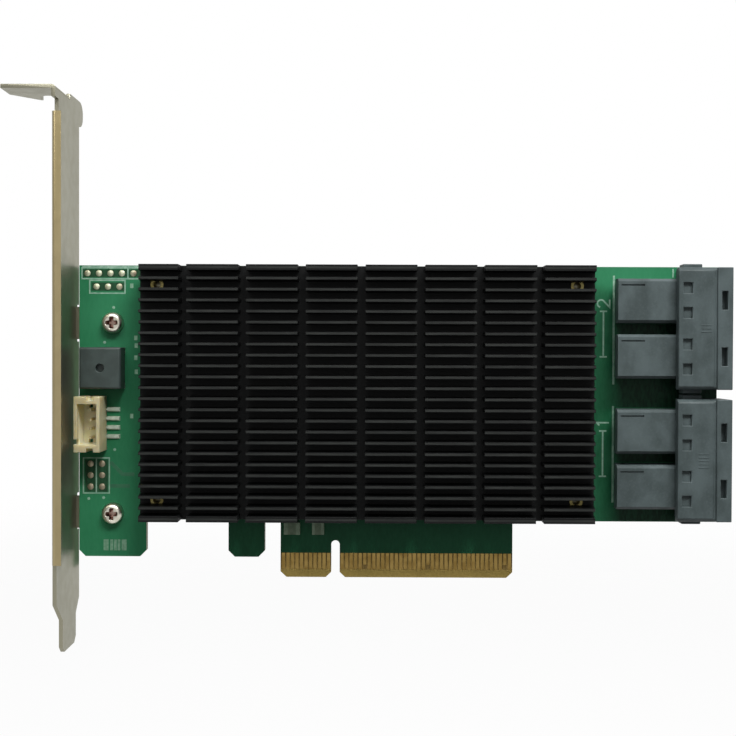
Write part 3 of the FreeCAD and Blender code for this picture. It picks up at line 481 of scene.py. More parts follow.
# Plainer finishes in two shades. The last eight aren't slots of the record.
MOTTLED = {
    "standoff_brass": dict(dark=(140, 128, 78), light=(164, 152, 100), size=1.2, roughness=0.42, metallic=1),
    "buzzer_plastic": dict(dark=(43, 54, 51), light=(53, 65, 62), size=3.0, grain=0.4, depth=0.004),
    "tinned_metal": dict(dark=(178, 176, 168), light=(208, 206, 198), size=0.8, roughness=0.3, metallic=1),
    "chip_package": dict(dark=(28, 28, 30), light=(40, 40, 42), size=2.0, roughness=0.55),
    "thermal_pad": dict(dark=(140, 142, 146), light=(162, 164, 168), size=3.0, roughness=0.8),
    "ferrite": dict(dark=(52, 52, 54), light=(72, 72, 74), size=1.0, roughness=0.7),
    "metal_can": dict(dark=(186, 184, 178), light=(208, 206, 200), size=1.5, roughness=0.28, metallic=1),
    "capacitor_ceramic": dict(dark=(118, 114, 92), light=(140, 134, 108), size=0.8, roughness=0.45),
    "bright_tin": dict(dark=(168, 184, 166), light=(192, 204, 188), size=0.9, roughness=0.42, metallic=0.6),
    "dull_tin": dict(dark=(134, 156, 130), light=(152, 172, 146), size=0.9, roughness=0.6, metallic=0.1),
    "pad_tin": dict(dark=(120, 160, 134), light=(148, 184, 158), size=0.9, roughness=0.55, metallic=0.3),
    "edge_ceramic": dict(dark=(118, 138, 112), light=(134, 152, 126), size=0.8, roughness=0.6),
    "board_print": dict(dark=(120, 160, 138), light=(144, 180, 158), size=1.0, roughness=0.6),
    "label_print": dict(dark=(92, 136, 108), light=(120, 158, 132), size=0.8, roughness=0.6),
    "bare_tracks": dict(dark=(34, 98, 66), light=(40, 106, 72), size=2.0, roughness=0.4),
    "covered_copper": dict(dark=(58, 136, 96), light=(70, 150, 108), size=3.0, roughness=0.36),
}
materials = {name: make().material for name, make in FINISHES.items()}
for finish_name, look in MOTTLED.items():
    materials[finish_name] = mottled(finish_name, **look).material

# Nodes with a finish of their own in place of their slot's
OWN_FINISH = {"wire_header_pins": "header_pins", "edge_capacitors": "edge_ceramic"}
slots = {}
for node_name, node in NODES.items():
    for held in node.material_slots:
        slots[node_name] = held.material.name.split(".")[0]
        held.material = materials[OWN_FINISH.get(node_name, slots[node_name])]


# Building blocks of the added pieces. Their meshes are made in millimetres.

# Points closer than the weld are one, and the limit keeps a ribbon's sharp corners short
WELD = 0.002
MITRE_LIMIT = 0.3


def show(name, bm, slot=None, finish=None, stands_for=(), smooth=35, flat=()):
    """Turns a mesh into a piece of the card, with the material of a slot of the record or a finish of its
    own.

    Edges sharper than smooth degrees stay sharp, and the faces in flat aren't shaded smooth.
    """
    bmesh.ops.recalc_face_normals(bm, faces=bm.faces)
    bmesh.ops.scale(bm, vec=Vector((MM, MM, MM)), verts=bm.verts)
    bm.faces.index_update()
    flat_faces = [face.index for face in flat]
    mesh = bpy.data.meshes.new(name)
    bm.to_mesh(mesh)
    bm.free()
    mesh.materials.append(materials[finish or slot])
    mesh.set_sharp_from_angle(angle=math.radians(smooth))
    for index in flat_faces:
        mesh.polygons[index].use_smooth = False
    piece = bpy.data.objects.new(name, mesh)
    bpy.context.scene.collection.objects.link(piece)
    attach(piece, "root")
    if stands_for:
        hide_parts(*stands_for)


def face_level(side, height=0.0):
    """The level of a board face, or of something that stands off it by height."""
    return side * (BOARD_REAR + height)


def add_box(bm, first, last):
    """A box between two opposite corners."""
    made = bmesh.ops.create_cube(bm, size=1.0)["verts"]
    for vert in made:
        share = vert.co + Vector((0.5, 0.5, 0.5))
        vert.co = Vector(first[i] + share[i] * (last[i] - first[i]) for i in range(3))


def add_patch(bm, side, left, right, foot, top, height=PRINT_HEIGHT):
    """A thin flat rectangle on a board face."""
    add_box(bm, (left, face_level(side, -height), foot), (right, face_level(side, height), top))


def add_turned(bm, x, z, profile, segments=24):
    """A turned form round a line along Y through (x, z). The profile is a list of (radius, y)."""
    rings = []
    for radius, y in profile:
        if radius == 0:
            rings.append([bm.verts.new((x, y, z))])
            continue
        ring = []
        for step in range(segments):
            angle = 2 * math.pi * step / segments
            ring.append(bm.verts.new((x + radius * math.cos(angle), y, z + radius * math.sin(angle))))
        rings.append(ring)
    for near, far in zip(rings, rings[1:]):
        for step in range(segments):
            corners = [near[step % len(near)], near[(step + 1) % len(near)],
                       far[(step + 1) % len(far)], far[step % len(far)]]
            bm.faces.new(list(dict.fromkeys(corners)))


def add_disc(bm, x, z, side, radius, height, segments, taper=1.0):
    """A low disc on a board face, its top taper times as wide as its foot."""
    top = face_level(side, height)
    add_turned(bm, x, z, [(radius, face_level(side)), (radius * taper, top), (0, top)], segments)


def add_ribbon(bm, points, width, side, height, closed=False):
    """A flat strip of even width along points (x, z) on a board face, mitred at its corners."""
    count = len(points)
    points = [Vector(point) for point in points]
    edges = []
    for index, point in enumerate(points):
        ahead = points[(index + 1) % count] - point
        behind = point - points[index - 1]
        if not closed and index == 0:
            behind = ahead
        if not closed and index == count - 1:
            ahead = behind
        along = (ahead.normalized() + behind.normalized()).normalized()
        across = Vector((-along.y, along.x))
        reach = width / 2 / max(MITRE_LIMIT, along.dot(ahead.normalized()))
        corners = []
        for offset, level in ((1, height), (-1, height), (-1, -height), (1, -height)):
            place = point + across * reach * offset
            corners.append(bm.verts.new((place.x, face_level(side, level), place.y)))
        edges.append(corners)
    pairs = list(zip(edges, edges[1:]))
    if closed:
        pairs.append((edges[-1], edges[0]))
    else:
        bm.faces.new(edges[0])
        bm.faces.new(edges[-1])
    for near, far in pairs:
        for corner in range(4):
            following = (corner + 1) % 4
            bm.faces.new((near[corner], near[following], far[following], far[corner]))


def add_frame(bm, side, left, right, foot, top, width, height=PRINT_HEIGHT):
    """A rectangular line on a board face."""
    corners = [(left, foot), (right, foot), (right, top), (left, top)]
    add_ribbon(bm, corners, width, side, height, closed=True)


def round_edges(bm, edges, width):
    """Rounds edges with two facets each."""
    bmesh.ops.bevel(bm, geom=edges, offset=width, segments=2, profile=0.5, affect="EDGES",
                    clamp_overlap=True)


def islands(node):
    """The corners, in millimetres, of the boxes round each separate solid of a node."""
    bm = bmesh.new()
    bm.from_mesh(NODES[node].data)
    bmesh.ops.remove_doubles(bm, verts=bm.verts, dist=WELD * MM)
    waiting = set(bm.verts)
    boxes = []
    while waiting:
        reached = [waiting.pop()]
        for vert in reached:
            for edge in vert.link_edges:
                other = edge.other_vert(vert)
                if other in waiting:
                    waiting.discard(other)
                    reached.append(other)
        places = [vert.co / MM for vert in reached]
        boxes.append((Vector(map(min, zip(*places))), Vector(map(max, zip(*places)))))
    bm.free()
    return sorted(boxes, key=lambda box: tuple(box[0]))


# Nodes shown with rounded edges

# Edges sharper than the first angle are rounded, and faces within the second of each other are joined
OUTER_ANGLE = math.radians(28)
FLUSH_ANGLE = math.radians(0.5)
# A face is square when its normal is this near to an axis
SQUARE = 0.99
PLATE_REACH = 0.9


def slope_ends(bm):
    """Lets the heat sink's plate reach a little further than the fin tips, so that its ends slope."""
    first = low("heat_sink")
    last = high("heat_sink")
    for vert in bm.verts:
        reach = PLATE_REACH * (vert.co.y - first.y) / (last.y - first.y)
        if abs(vert.co.x - first.x) < WELD:
            vert.co.x -= reach
        elif abs(vert.co.x - last.x) < WELD:
            vert.co.x += reach


def round_off(node, width, flat_area=0.0, reshape=None):
    """A copy of a node with its outer edges rounded, shown in its place.

    Its square faces over flat_area are shaded flat.
    """
    bm = bmesh.new()
    bm.from_mesh(NODES[node].data)
    bmesh.ops.scale(bm, vec=Vector((1, 1, 1)) / MM, verts=bm.verts)
    bmesh.ops.remove_doubles(bm, verts=bm.verts, dist=WELD)
    bmesh.ops.dissolve_limit(bm, angle_limit=FLUSH_ANGLE, verts=bm.verts, edges=bm.edges)
    if reshape:
        reshape(bm)
    outer = []
    for edge in bm.edges:
        if len(edge.link_faces) == 2 and edge.is_convex and edge.calc_face_angle() > OUTER_ANGLE:
            outer.append(edge)
    round_edges(bm, outer, width)
    bmesh.ops.dissolve_degenerate(bm, dist=WELD, edges=bm.edges)
    flat = set()
    for face in bm.faces:
        face.normal_update()
        if max(map(abs, face.normal)) > SQUARE and face.calc_area() > flat_area:
            flat.add(face)
    show(f"{node}_rounded", bm, slots[node], stands_for=[node], flat=flat)


# The bracket's bends have narrow square faces, which are shaded smooth
round_off("slot_bracket", width=0.1, flat_area=30.0)
round_off("heat_sink", width=0.2, reshape=slope_ends)
for shroud in ("port_shroud_upper", "port_shroud_lower"):
    round_off(shroud, width=0.22)
for number in PORT_NUMBERS:
    round_off(f"contact_block_{number}", width=0.2)
round_off("buzzer", width=0.2)
round_off("wire_header", width=0.12)


# Screws, with domed heads and a cross recess

HEAD_RINGS = 34
HEAD_SEGMENTS = 64
# Under 1, the rings of a head lie closer together towards its rim
RING_SPREAD = 0.8
# Shares of a head's radius: its flat crown, and the reach and half width of the recess's bars
CROWN = 0.55
BAR_REACH = 0.6
BAR_HALF = 0.17
# Shares of a head's height: its straight rim, and the depth of the recess
RIM = 0.4
RECESS_DEPTH = 0.75
# The share of a bar's reach from which its floor rises, and how far its walls slope in and out
FLOOR_RISE = 0.5
WALL_IN = 0.1
WALL_OUT = 0.06
THREAD_CORE = 0.82


def smooth_step(value, start, end):
    share = min(1.0, max(0.0, (value - start) / (end - start)))
    return share * share * (3 - 2 * share)


def recess(right, up, radius):
    """How deep a cross recess is at a place on a head, from 0 to 1."""
    reach = BAR_REACH * radius
    half = BAR_HALF * radius
    bars = []
    for along, across in ((abs(right), abs(up)), (abs(up), abs(right))):
        wall = 1 - smooth_step(across, half - WALL_IN, half + WALL_OUT)
        bars.append(wall * (1 - smooth_step(along, FLOOR_RISE * reach, reach)))
    return max(bars)


def add_screw_head(bm, x, z, seat, side, radius, height):
    """A pan head facing along side times Y: a flat crown, a rounded shoulder and a straight rim."""
    rim = RIM * height
    grid = []
    for ring in range(HEAD_RINGS + 1):
        share = (ring / HEAD_RINGS) ** RING_SPREAD
        over = max(0.0, (share - CROWN) / (1 - CROWN))
        dome = rim + (height - rim) * max(0.0, 1 - over * over) ** 0.5
        row = []
        for step in range(HEAD_SEGMENTS):
            angle = 2 * math.pi * step / HEAD_SEGMENTS
            right = radius * share * math.cos(angle)
            up = radius * share * math.sin(angle)
            level = dome - RECESS_DEPTH * height * recess(right, up, radius)
            row.append(bm.verts.new((x + right, seat + side * level, z + up)))
        grid.append(row)
    grid.append([bm.verts.new((vert.co.x, seat, vert.co.z)) for vert in grid[-1]])
    for near, far in zip(grid, grid[1:]):
        for step in range(HEAD_SEGMENTS):
            following = (step + 1) % HEAD_SEGMENTS
            bm.faces.new((near[step], near[following], far[following], far[step]))


def thread_profile(radius, start, end, pitch):
    """The side of a threaded shank as (radius, y), from start to end."""
    turns = max(1, round(abs(end - start) / pitch))
    core = THREAD_CORE * radius
    profile = [(core, start)]
    for turn in range(turns):
        for share, size in ((0.25, core), (0.5, radius), (0.75, radius), (1.0, core)):
            profile.append((size, start + (end - start) * (turn + share) / turns))
    profile.append((0, end))
    return profile


def dress_screws(node, side, head_radius, head_height, shank_radius, pitch):
    """Replaces the screws of a node, whose heads lie on one face of the board."""
    bm = bmesh.new()
    for first, last in islands(node):
        x = (first.x + last.x) / 2
        z = (first.z + last.z) / 2
        seat = face_level(side)
        tip = last.y if side == FRONT else first.y
        add_screw_head(bm, x, z, seat, side, head_radius, head_height)
        add_turned(bm, x, z, thread_profile(shank_radius, seat, tip, pitch))
    bmesh.ops.remove_doubles(bm, verts=bm.verts, dist=WELD)
    show(f"{node}_dressed", bm, "screw_nickel", stands_for=[node], smooth=50)


dress_screws("bracket_screws", FRONT, head_radius=2.35, head_height=1.9, shank_radius=1.25, pitch=0.5)
dress_screws("sink_screws", REAR, head_radius=1.9, head_height=1.3, shank_radius=1.0, pitch=0.45)


# Solder on the pin pads and under the legs

PIN_PITCH = 2.54
PAD_RADIUS = 0.7
PAD_SEGMENTS = 20
DOME_HEIGHT = 0.2
# The side of a dome of solder, concave at its foot, as shares of the radius and the height
DOME = ((0.97, 0.12), (0.8, 0.3), (0.55, 0.68), (0.3, 0.92), (0.0, 1.0))


def pin_grid(left, top, columns, rows):
    """The places of pins, as (x, z)."""
    return [(left + PIN_PITCH * i, top - PIN_PITCH * j) for i in range(columns) for j in range(rows)]


# Two rows at the top of the board, and a block of six
PINS = pin_grid(-55.0, 67.15, 5, 1) + pin_grid(-53.0, 64.2, 3, 1) + pin_grid(-54.3, 25.0, 2, 3)


def pin_solder():
    """A low dome of solder on both ends of each pin hole."""
    bm = bmesh.new()
    for x, z in PINS:
        for side in (FRONT, REAR):
            profile = [(PAD_RADIUS, face_level(side))]
            for out, up in DOME:
                profile.append((PAD_RADIUS * out, face_level(side, COPPER_HEIGHT + DOME_HEIGHT * up)))
            add_turned(bm, x, z, profile, PAD_SEGMENTS)
    show("pin_solder", bm, "tinned_metal", "tinned_solder", smooth=60)


LEG_PAD_LEFT = -50.6
LEG_PAD_RIGHT = -47.75
LEG_PAD_WIDTH = 0.95
FILLET_WIDTH = 0.72 * LEG_PAD_WIDTH
FILLET_INSET = 0.1
FILLET_TOP = 0.42
HEEL_INSET = 0.3
HEEL_HEIGHT = 0.3


def leg_solder():
    """Pads and solder under the legs of the wire header."""
    bm = bmesh.new()
    for first, last in islands("wire_header_pins"):
        z = (first.z + last.z) / 2
        half = LEG_PAD_WIDTH / 2
        add_patch(bm, FRONT, LEG_PAD_LEFT, LEG_PAD_RIGHT, z - half, z + half, COPPER_HEIGHT)
        slope = [(LEG_PAD_RIGHT - FILLET_INSET, COPPER_HEIGHT), (last.x, FILLET_TOP),
                 (LEG_PAD_LEFT + HEEL_INSET, HEEL_HEIGHT), (LEG_PAD_LEFT + FILLET_INSET, COPPER_HEIGHT)]
        near = []
        far = []
        for x, height in slope:
            level = face_level(FRONT, height)
            near.append(bm.verts.new((x, level, z - FILLET_WIDTH / 2)))
            far.append(bm.verts.new((x, level, z + FILLET_WIDTH / 2)))
        for index in range(len(slope) - 1):
            bm.faces.new((near[index], near[index + 1], far[index + 1], far[index]))
        bm.faces.new(near)
        bm.faces.new(far)
    show("leg_solder", bm, "tinned_metal", "bright_tin")


pin_solder()
leg_solder()


# Metal ends of the chip capacitors

END_SHARE = 0.24
END_PROUD = 0.015


def capacitor_ends(node, finish=None):
    """A metal cap, a little proud, on both ends of each capacitor of a node."""
    bm = bmesh.new()
    proud = Vector((END_PROUD, END_PROUD, END_PROUD))
    for first, last in islands(node):
        size = last - first
        axis = 0 if size.x > size.z else 2
        first_cap_end = last + proud
        first_cap_end[axis] = first[axis] + END_SHARE * size[axis]
        add_box(bm, first - proud, first_cap_end)
        last_cap_start = first - proud
        last_cap_start[axis] = last[axis] - END_SHARE * size[axis]
        add_box(bm, last_cap_start, last + proud)
    show(f"{node}_ends", bm, "tinned_metal", finish)


capacitor_ends("edge_capacitors", "dull_tin")
capacitor_ends("coupling_capacitors")
capacitor_ends("bypass_capacitors")


# White print: outlines, marks and port numbers

PRINT_LINE = 0.28
PORT_LINE = 0.45
# Outlines round the pin pads, as left, right, foot and top
OUTLINES = ((-56.2, -42.6, 65.95, 68.4), (-54.5, -46.7, 62.75, 65.6), (-55.9, -50.15, 18.5, 26.3))
# Straight lines, each from one (x, z) to another, with its width
LINES = (
    ((-46.05, 66.1), (-46.05, 68.2), PRINT_LINE),
    ((-53.03, 18.5), (-53.03, 26.3), PRINT_LINE),
    ((74.2, 66.6), (74.2, 68.5), PRINT_LINE),
    ((61.2, 43.0), (61.2, 67.0), PORT_LINE),
    ((61.2, 16.9), (61.2, 38.2), PORT_LINE),
)
# A thicker band over the top of the first outline
BAND = ((-56.2, 68.5), (-42.6, 68.5))
BAND_WIDTH = 0.6
BAND_HEIGHT = 0.03
DOTS = ((-54.7, 17.3), (-51.4, 17.5), (-48.95, 28.15), (-49.2, 59.6), (-51.2, 51.9))
DOT_RADIUS = 0.32
DOT_SEGMENTS = 12
NUMERAL_HEIGHT = 2.7
NUMERAL_WIDTH = 0.62 * NUMERAL_HEIGHT
NUMERAL_FOOT = 60.3
NUMERAL_LINE = 0.34
# The line beside two ports: where its numeral ends, and its own length, caps and gap to the numeral
PORT_MARKS = {"2": 61.7, "1": 35.3}
MARK_LENGTH = 12.6
MARK_CAP = 0.8
MARK_GAP = 0.9


def arc(centre, radius, start, end, steps=10):
    """Points of an arc, angles in degrees."""
    points = []
    for step in range(steps + 1):
        angle = math.radians(start + (end - start) * step / steps)
        points.append((centre[0] + radius * math.cos(angle), centre[1] + radius * math.sin(angle)))
    return points


# The stroke of each numeral in a cell 1 high and 0.62 wide
NUMERALS = {
    "1": [(0.12, 0.78), (0.34, 1.0), (0.34, 0.0)],
    "2": arc((0.3, 0.7), 0.3, 165, -38) + [(0.0, 0.0), (0.62, 0.0)],
}


def port_number(bm, numeral, end):
    """A numeral that reads up the board and ends at a height, with a plain line beside its two ports."""
    start = end - NUMERAL_WIDTH
    stroke = []
    for right, up in NUMERALS[numeral]:
        stroke.append((NUMERAL_FOOT - up * NUMERAL_HEIGHT, start + right * NUMERAL_HEIGHT))
    x = NUMERAL_FOOT - NUMERAL_HEIGHT / 2
    foot = end - MARK_LENGTH
    head = start - MARK_GAP
    mark = [(x, foot), (x, head)]
    caps = [[(x - MARK_CAP, z), (x + MARK_CAP, z)] for z in (foot, head)]
    for line in (stroke, mark, *caps):
        add_ribbon(bm, line, NUMERAL_LINE, FRONT, PRINT_HEIGHT)


def board_print():
    """Outlines, lines and dots, with a number and a line for each pair of ports."""
    bm = bmesh.new()
    for outline in OUTLINES:
        add_frame(bm, FRONT, *outline, PRINT_LINE)
    for start, end, width in LINES:
        add_ribbon(bm, [start, end], width, FRONT, PRINT_HEIGHT)
    add_ribbon(bm, BAND, BAND_WIDTH, FRONT, BAND_HEIGHT)
    for x, z in DOTS:
        add_disc(bm, x, z, FRONT, DOT_RADIUS, PRINT_HEIGHT, DOT_SEGMENTS)
    for numeral, end in PORT_MARKS.items():
        port_number(bm, numeral, end)
    show("board_print", bm, finish="board_print")


LABEL_FOOT = 5.8
LABEL_TOP = 8.2
LABEL_BARS = ((-51.4, -50.3), (-49.95, -49.3), (-49.1, -48.5), (-48.3, -47.7), (-47.4, -46.3))


def label_block():
    """A faint block of print on the corner tab, as bars."""
    bm = bmesh.new()
    for left, right in LABEL_BARS:
        add_patch(bm, FRONT, left, right, LABEL_FOOT, LABEL_TOP)
    show("label_block", bm, finish="label_print")


BARE_WIDTH = 0.8
BARE_ROUTES = (
    ((-49.9, 25.4), (-49.2, 24.7), (-47.2, 22.7), (-44.6, 22.7)),
    ((-49.9, 20.1), (-45.6, 20.1)),
)


def bare_tracks():
    """Dark lines where the mask has no copper under it, beside the block of six pins."""
    bm = bmesh.new()
    for route in BARE_ROUTES:
        add_ribbon(bm, route, BARE_WIDTH, FRONT, PRINT_HEIGHT)
    show("bare_tracks", bm, finish="bare_tracks")


# Ribs on the shrouds' roofs, which lie a step behind their foremost faces: how many, and their left ends
RIBS = {"port_shroud_upper": (3, 78.0), "port_shroud_lower": (5, 77.6)}
ROOF_STEP = 0.2
RIB_LENGTH = 2.2
RIB_PITCH = 0.72
RIB_WIDTH = 0.24
RIB_HEIGHT = 0.06
RIB_ROUNDING = 0.04


def port_ribs():
    """Short moulded ribs on the roof of each shroud, between its two ports."""
    bm = bmesh.new()
    for node, (count, left) in RIBS.items():
        roof = low(node).y + ROOF_STEP
        for rib in range(count):
            z = middle(node).z + (rib - (count - 1) / 2) * RIB_PITCH
            first = (left, roof - RIB_HEIGHT, z - RIB_WIDTH / 2)
            last = (left + RIB_LENGTH, roof + RIB_HEIGHT, z + RIB_WIDTH / 2)
            add_box(bm, first, last)
    round_edges(bm, bm.edges[:], RIB_ROUNDING)
    show("port_ribs", bm, "port_plastic")


board_print()
label_block()
bare_tracks()
port_ribs()


# Bare tinned pads, covered copper and its vias

LOOSE_PADS = ((-44.3, 52.9), (-44.2, 51.2), (-44.3, 48.5), (-44.2, 45.4), (-45.2, 64.4), (-45.2, 35.6))
LOOSE_PAD_WIDTH = 0.7
LOOSE_PAD_HEIGHT = 1.0


def loose_pads():
    """Small bare pads left of the heat sink."""
    bm = bmesh.new()
    across = LOOSE_PAD_WIDTH / 2
    up = LOOSE_PAD_HEIGHT / 2
    for x, z in LOOSE_PADS:
        add_patch(bm, FRONT, x - across, x + across, z - up, z + up, COPPER_HEIGHT)
    show("loose_pads", bm, "tinned_metal", "pad_tin")


CHIP_LOW = low("switch_chip")
CHIP_HIGH = high("switch_chip")
CHIP_GAP = 0.5
TRACE = 0.2
PAIR_OFFSETS = (-0.21, 0.21)
# Lanes to the ports: they leave the chip evenly, inside a margin, and jog the later the nearer its middle
PORT_HEIGHTS = [middle(f"contact_block_{number}").z for number in PORT_NUMBERS]
LANES_A_PORT = 4
LANE_PITCH = 1.5
CHIP_MARGIN = 2.0
PORT_END = 66.0
LATEST_JOG = 0.75
JOG_SPREAD = 0.6
# Lanes to the socket: they leave at one pitch, run straight, fan out and arrive at another
SOCKET_LANES = 16
LEAVE_MARGIN = 1.5
LEAVE_PITCH = 1.55
LEAVE_LENGTH = 2.0
ARRIVE_FIRST = 2.0
ARRIVE_PITCH = 2.3
SOCKET_END = 6.0


def jog(start, end, share):
    """A route between two points along X with one 45-degree jog, share of the way along."""
    rise = end[1] - start[1]
    turn = start[0] + (end[0] - start[0] - abs(rise)) * share
    return [start, (turn, start[1]), (turn + abs(rise), end[1]), end]


def port_routes():
    """Routes of the lines to the ports, two a lane, as points (x, z)."""
    routes = []
    lanes = LANES_A_PORT * len(PORT_HEIGHTS)
    leave_pitch = (CHIP_HIGH.z - CHIP_LOW.z - 2 * CHIP_MARGIN) / (lanes - 1)
    for lane in range(lanes):
        port, number = divmod(lane, LANES_A_PORT)
        leave = CHIP_HIGH.z - CHIP_MARGIN - lane * leave_pitch
        arrive = PORT_HEIGHTS[port] + ((LANES_A_PORT - 1) / 2 - number) * LANE_PITCH
        share = LATEST_JOG - JOG_SPREAD * abs(lane - lanes / 2) / lanes
        for offset in PAIR_OFFSETS:
            routes.append(jog((CHIP_HIGH.x + CHIP_GAP, leave + offset), (PORT_END, arrive + offset), share))
    return routes


def socket_routes():
    """Routes of the lines to the socket, two a lane, as points (x, z)."""
    routes = []
    start = CHIP_LOW.z - CHIP_GAP
    fan = start - LEAVE_LENGTH
    for lane in range(SOCKET_LANES):
        for offset in PAIR_OFFSETS:
            leave = CHIP_LOW.x + LEAVE_MARGIN + lane * LEAVE_PITCH + offset
            arrive = ARRIVE_FIRST + lane * ARRIVE_PITCH + offset
            fan_end = fan - abs(arrive - leave)
            routes.append([(leave, start), (leave, fan), (arrive, fan_end), (arrive, SOCKET_END)])
    return routes


def board_copper(routes):
    """Raised lines where copper runs under the mask on the rear."""
    bm = bmesh.new()
    for route in routes:
        add_ribbon(bm, route, TRACE, REAR, COPPER_HEIGHT)
    show("board_copper", bm, finish="covered_copper")


VIA_PITCH = 1.25
VIA_MARGIN = 1.0
VIA_RADIUS = 0.24
VIA_TAPER = 0.8
VIA_ROOM = 0.4
END_RADIUS = 0.17
VIA_SEGMENTS = 8


def near_any(boxes, x, z):
    """Whether a place is on a box or too close to one for a via."""
    for first, last in boxes:
        beside = first.x - VIA_ROOM < x < last.x + VIA_ROOM
        if beside and first.z - VIA_ROOM < z < last.z + VIA_ROOM:
            return True
    return False


def board_vias(line_ends):
    """Filled vias on the rear: rows behind the chip, clear of the capacitors, and at the ends of lines."""
    bm = bmesh.new()
    capacitors = islands("bypass_capacitors")
    columns = int((CHIP_HIGH.x - CHIP_LOW.x - 2 * VIA_MARGIN) / VIA_PITCH) + 1
    for column in range(columns):
        for row in range(columns):
            x = CHIP_LOW.x + VIA_MARGIN + column * VIA_PITCH
            z = CHIP_LOW.z + VIA_MARGIN + row * VIA_PITCH
            if not near_any(capacitors, x, z):
                add_disc(bm, x, z, REAR, VIA_RADIUS, COPPER_HEIGHT, VIA_SEGMENTS, VIA_TAPER)
    for x, z in line_ends:
        add_disc(bm, x, z, REAR, END_RADIUS, COPPER_HEIGHT, VIA_SEGMENTS)
    show("board_vias", bm, "tinned_metal")


loose_pads()
to_ports = port_routes()
to_socket = socket_routes()
board_copper(to_ports + to_socket)
board_vias([route[0] for route in to_ports + to_socket] + [route[-1] for route in to_ports])


# Camera, at the place from which the photo was taken, with its small turn as an axis times radians

IMAGE_SIZE = 736
SENSOR = 36.0
FOCAL_PIXELS = 1095.95
CAMERA_PLACE = Vector((8.5156, -242.8936, 49.7276))
CAMERA_TURN = Vector((0.0136, 0.0037, -0.0060))


def add_camera():
    data = bpy.data.cameras.new("photo_camera")
    data.sensor_width = SENSOR
    data.lens = FOCAL_PIXELS * SENSOR / IMAGE_SIZE
    data.clip_start = 1 * MM
    camera = bpy.data.objects.new("photo_camera", data)
    turn = Matrix.Rotation(CAMERA_TURN.length, 4, CAMERA_TURN.normalized())
    upright = Matrix.Rotation(math.radians(90), 4, "X")
    camera.matrix_world = Matrix.Translation(CAMERA_PLACE * MM) @ turn.transposed() @ upright
    bpy.context.scene.collection.objects.link(camera)
    bpy.context.scene.camera = camera


# Light: a soft box high on each side, the right one stronger, a weak one in front, and a pale room

LAMP_TARGET = Vector((8.0, 0.0, 40.0))
LAMPS = {
    "key_lamp": dict(direction=(0.55, -1.0, 1.35), distance=620, width=320, height=180, watts=4.2),
    "side_lamp": dict(direction=(-0.65, -1.0, 1.35), distance=620, width=320, height=180, watts=1.6),
    "fill_lamp": dict(direction=(0.0, -1.0, 0.3), distance=700, width=500, height=400, watts=0.4),
}


def add_lamp(name, direction, distance, width, height, watts):
    """A soft box that faces the middle of the card."""
    data = bpy.data.lights.new(name, "AREA")
    data.shape = "RECTANGLE"
    data.size = width * MM
    data.size_y = height * MM
    data.energy = watts
    lamp = bpy.data.objects.new(name, data)
    away = Vector(direction).normalized()
    lamp.location = (LAMP_TARGET + away * distance) * MM
    lamp.rotation_euler = away.to_track_quat("Z", "Y").to_euler()
    bpy.context.scene.collection.objects.link(lamp)


# How bright the sweep and the room are as light and in mirrors, and where one turns into the other
SWEEP_EDGE = 0.3
SWEEP_LIGHT = 0.6
SWEEP_SEEN = 1.0
ROOM_LIGHT = 0.05
ROOM_SEEN = 0.5


def add_world():
    """White to the camera, a white sweep behind the object, and a dimmer room on the camera's side."""
    world = bpy.data.worlds.new("studio")
    bpy.context.scene.world = world
    world.use_nodes = True
    nodes = Nodes(world.node_tree, "Generated")
    behind = nodes.rise(nodes.along("Y"), -SWEEP_EDGE, SWEEP_EDGE, kind="LINEAR")
    lighting = nodes.number(behind, ROOM_LIGHT, SWEEP_LIGHT)
    mirrored = nodes.number(behind, ROOM_SEEN, SWEEP_SEEN)
    strength = nodes.number(nodes.mirrored_ray(), lighting, mirrored)
    background = world.node_tree.nodes["Background"]
    background.inputs["Color"].default_value = (1.0, 1.0, 1.0, 1.0)
    nodes.feed(background.inputs["Strength"], nodes.number(nodes.camera_ray(), strength, 1.0))


def add_stage(name, corners, finish, level=0.0):
    """A flat piece of the stage, its corners in millimetres, that gives no soft light to what is round it."""
    mesh = bpy.data.meshes.new(name)
    mesh.from_pydata([Vector(corner) * MM for corner in corners], [], [(0, 1, 2, 3)])
    mesh.materials.append(finish.material)
    piece = bpy.data.objects.new(name, mesh)
    piece.location.z = level * MM
    piece.visible_diffuse = False
    bpy.context.scene.collection.objects.link(piece)
    return piece


CARD_INSET = 0.1
CARD_DEPTH = 11.0
CARD_FOOT = 1.5


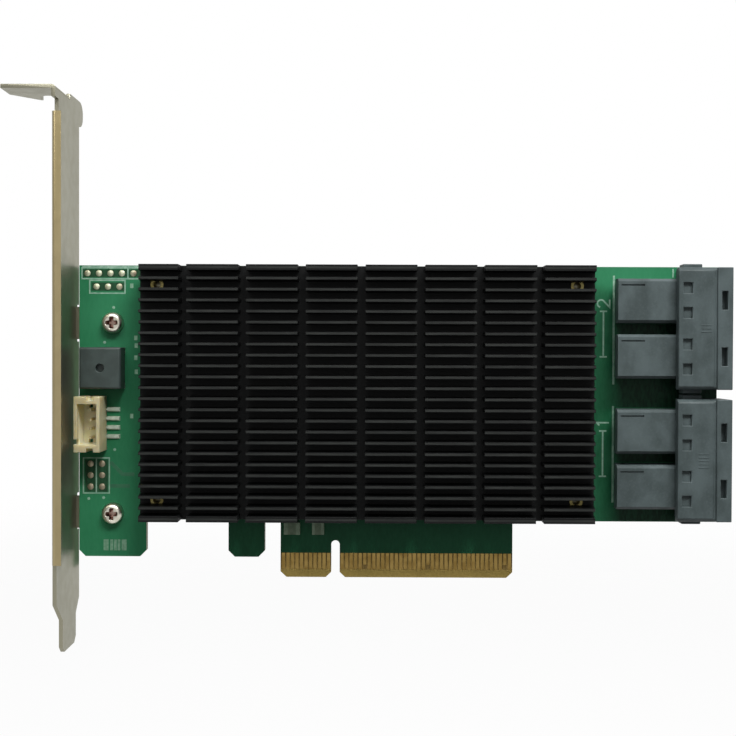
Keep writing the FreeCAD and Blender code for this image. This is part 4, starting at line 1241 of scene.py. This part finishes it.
def add_reflection_shade_card():
    """A card that glows dark green behind the board's left edge, seen only in mirrored rays, so that the
    bracket shows a painted reflection of shade there.
    """
    finish = Finish("reflection_shade_card")
    glow = finish.add("ShaderNodeEmission")
    # Its glow is a painted reflection of shade behind the board
    finish.feed(glow.inputs["Color"], finish.mix(finish.patches(12.0), (88, 128, 95), (102, 142, 109)))
    x = BOARD_LEFT + CARD_INSET
    corners = [(x, BOARD_REAR, CARD_FOOT), (x, CARD_DEPTH, CARD_FOOT),
               (x, CARD_DEPTH, BOARD_TOP), (x, BOARD_REAR, BOARD_TOP)]
    card = add_stage("reflection_shade_card", corners, finish.shade(glow))
    card.visible_camera = False
    card.visible_shadow = False
    card.visible_transmission = False


FLOOR_LEVEL = -120.0
FLOOR_REACH = 1200.0
FLOOR_GLOW = 0.92
# Distances from the floor's middle between which it fades out, as shares of its reach
FADE_START = 0.35
FADE_END = 0.95


def add_floor():
    """A pale floor, white to the camera but for the object's shadow, that fades into the sweep."""
    finish = Finish("floor", roughness=0.9, specular=0.1)
    finish.paint(colour(246, 246, 246))
    seen = finish.either(finish.camera_ray(), finish.mirrored_ray())
    glow = finish.add("ShaderNodeEmission")
    lit = finish.blend(finish.number(seen, 0.0, FLOOR_GLOW), finish.surface, glow)
    distance = finish.add("ShaderNodeVectorMath", operation="LENGTH")
    finish.feed(distance.inputs[0], finish.place)
    reach = FLOOR_REACH * MM
    far = finish.rise(distance.outputs["Value"], FADE_START * reach, FADE_END * reach)
    finish.shade(finish.blend(far, lit, finish.add("ShaderNodeBsdfTransparent")))
    corners = [(-FLOOR_REACH, -FLOOR_REACH, 0), (FLOOR_REACH, -FLOOR_REACH, 0),
               (FLOOR_REACH, FLOOR_REACH, 0), (-FLOOR_REACH, FLOOR_REACH, 0)]
    add_stage("floor", corners, finish, FLOOR_LEVEL)


add_camera()
for lamp_name, settings in LAMPS.items():
    add_lamp(lamp_name, **settings)
add_world()
add_reflection_shade_card()
add_floor()

bpy.context.scene.view_settings.view_transform = "Standard"
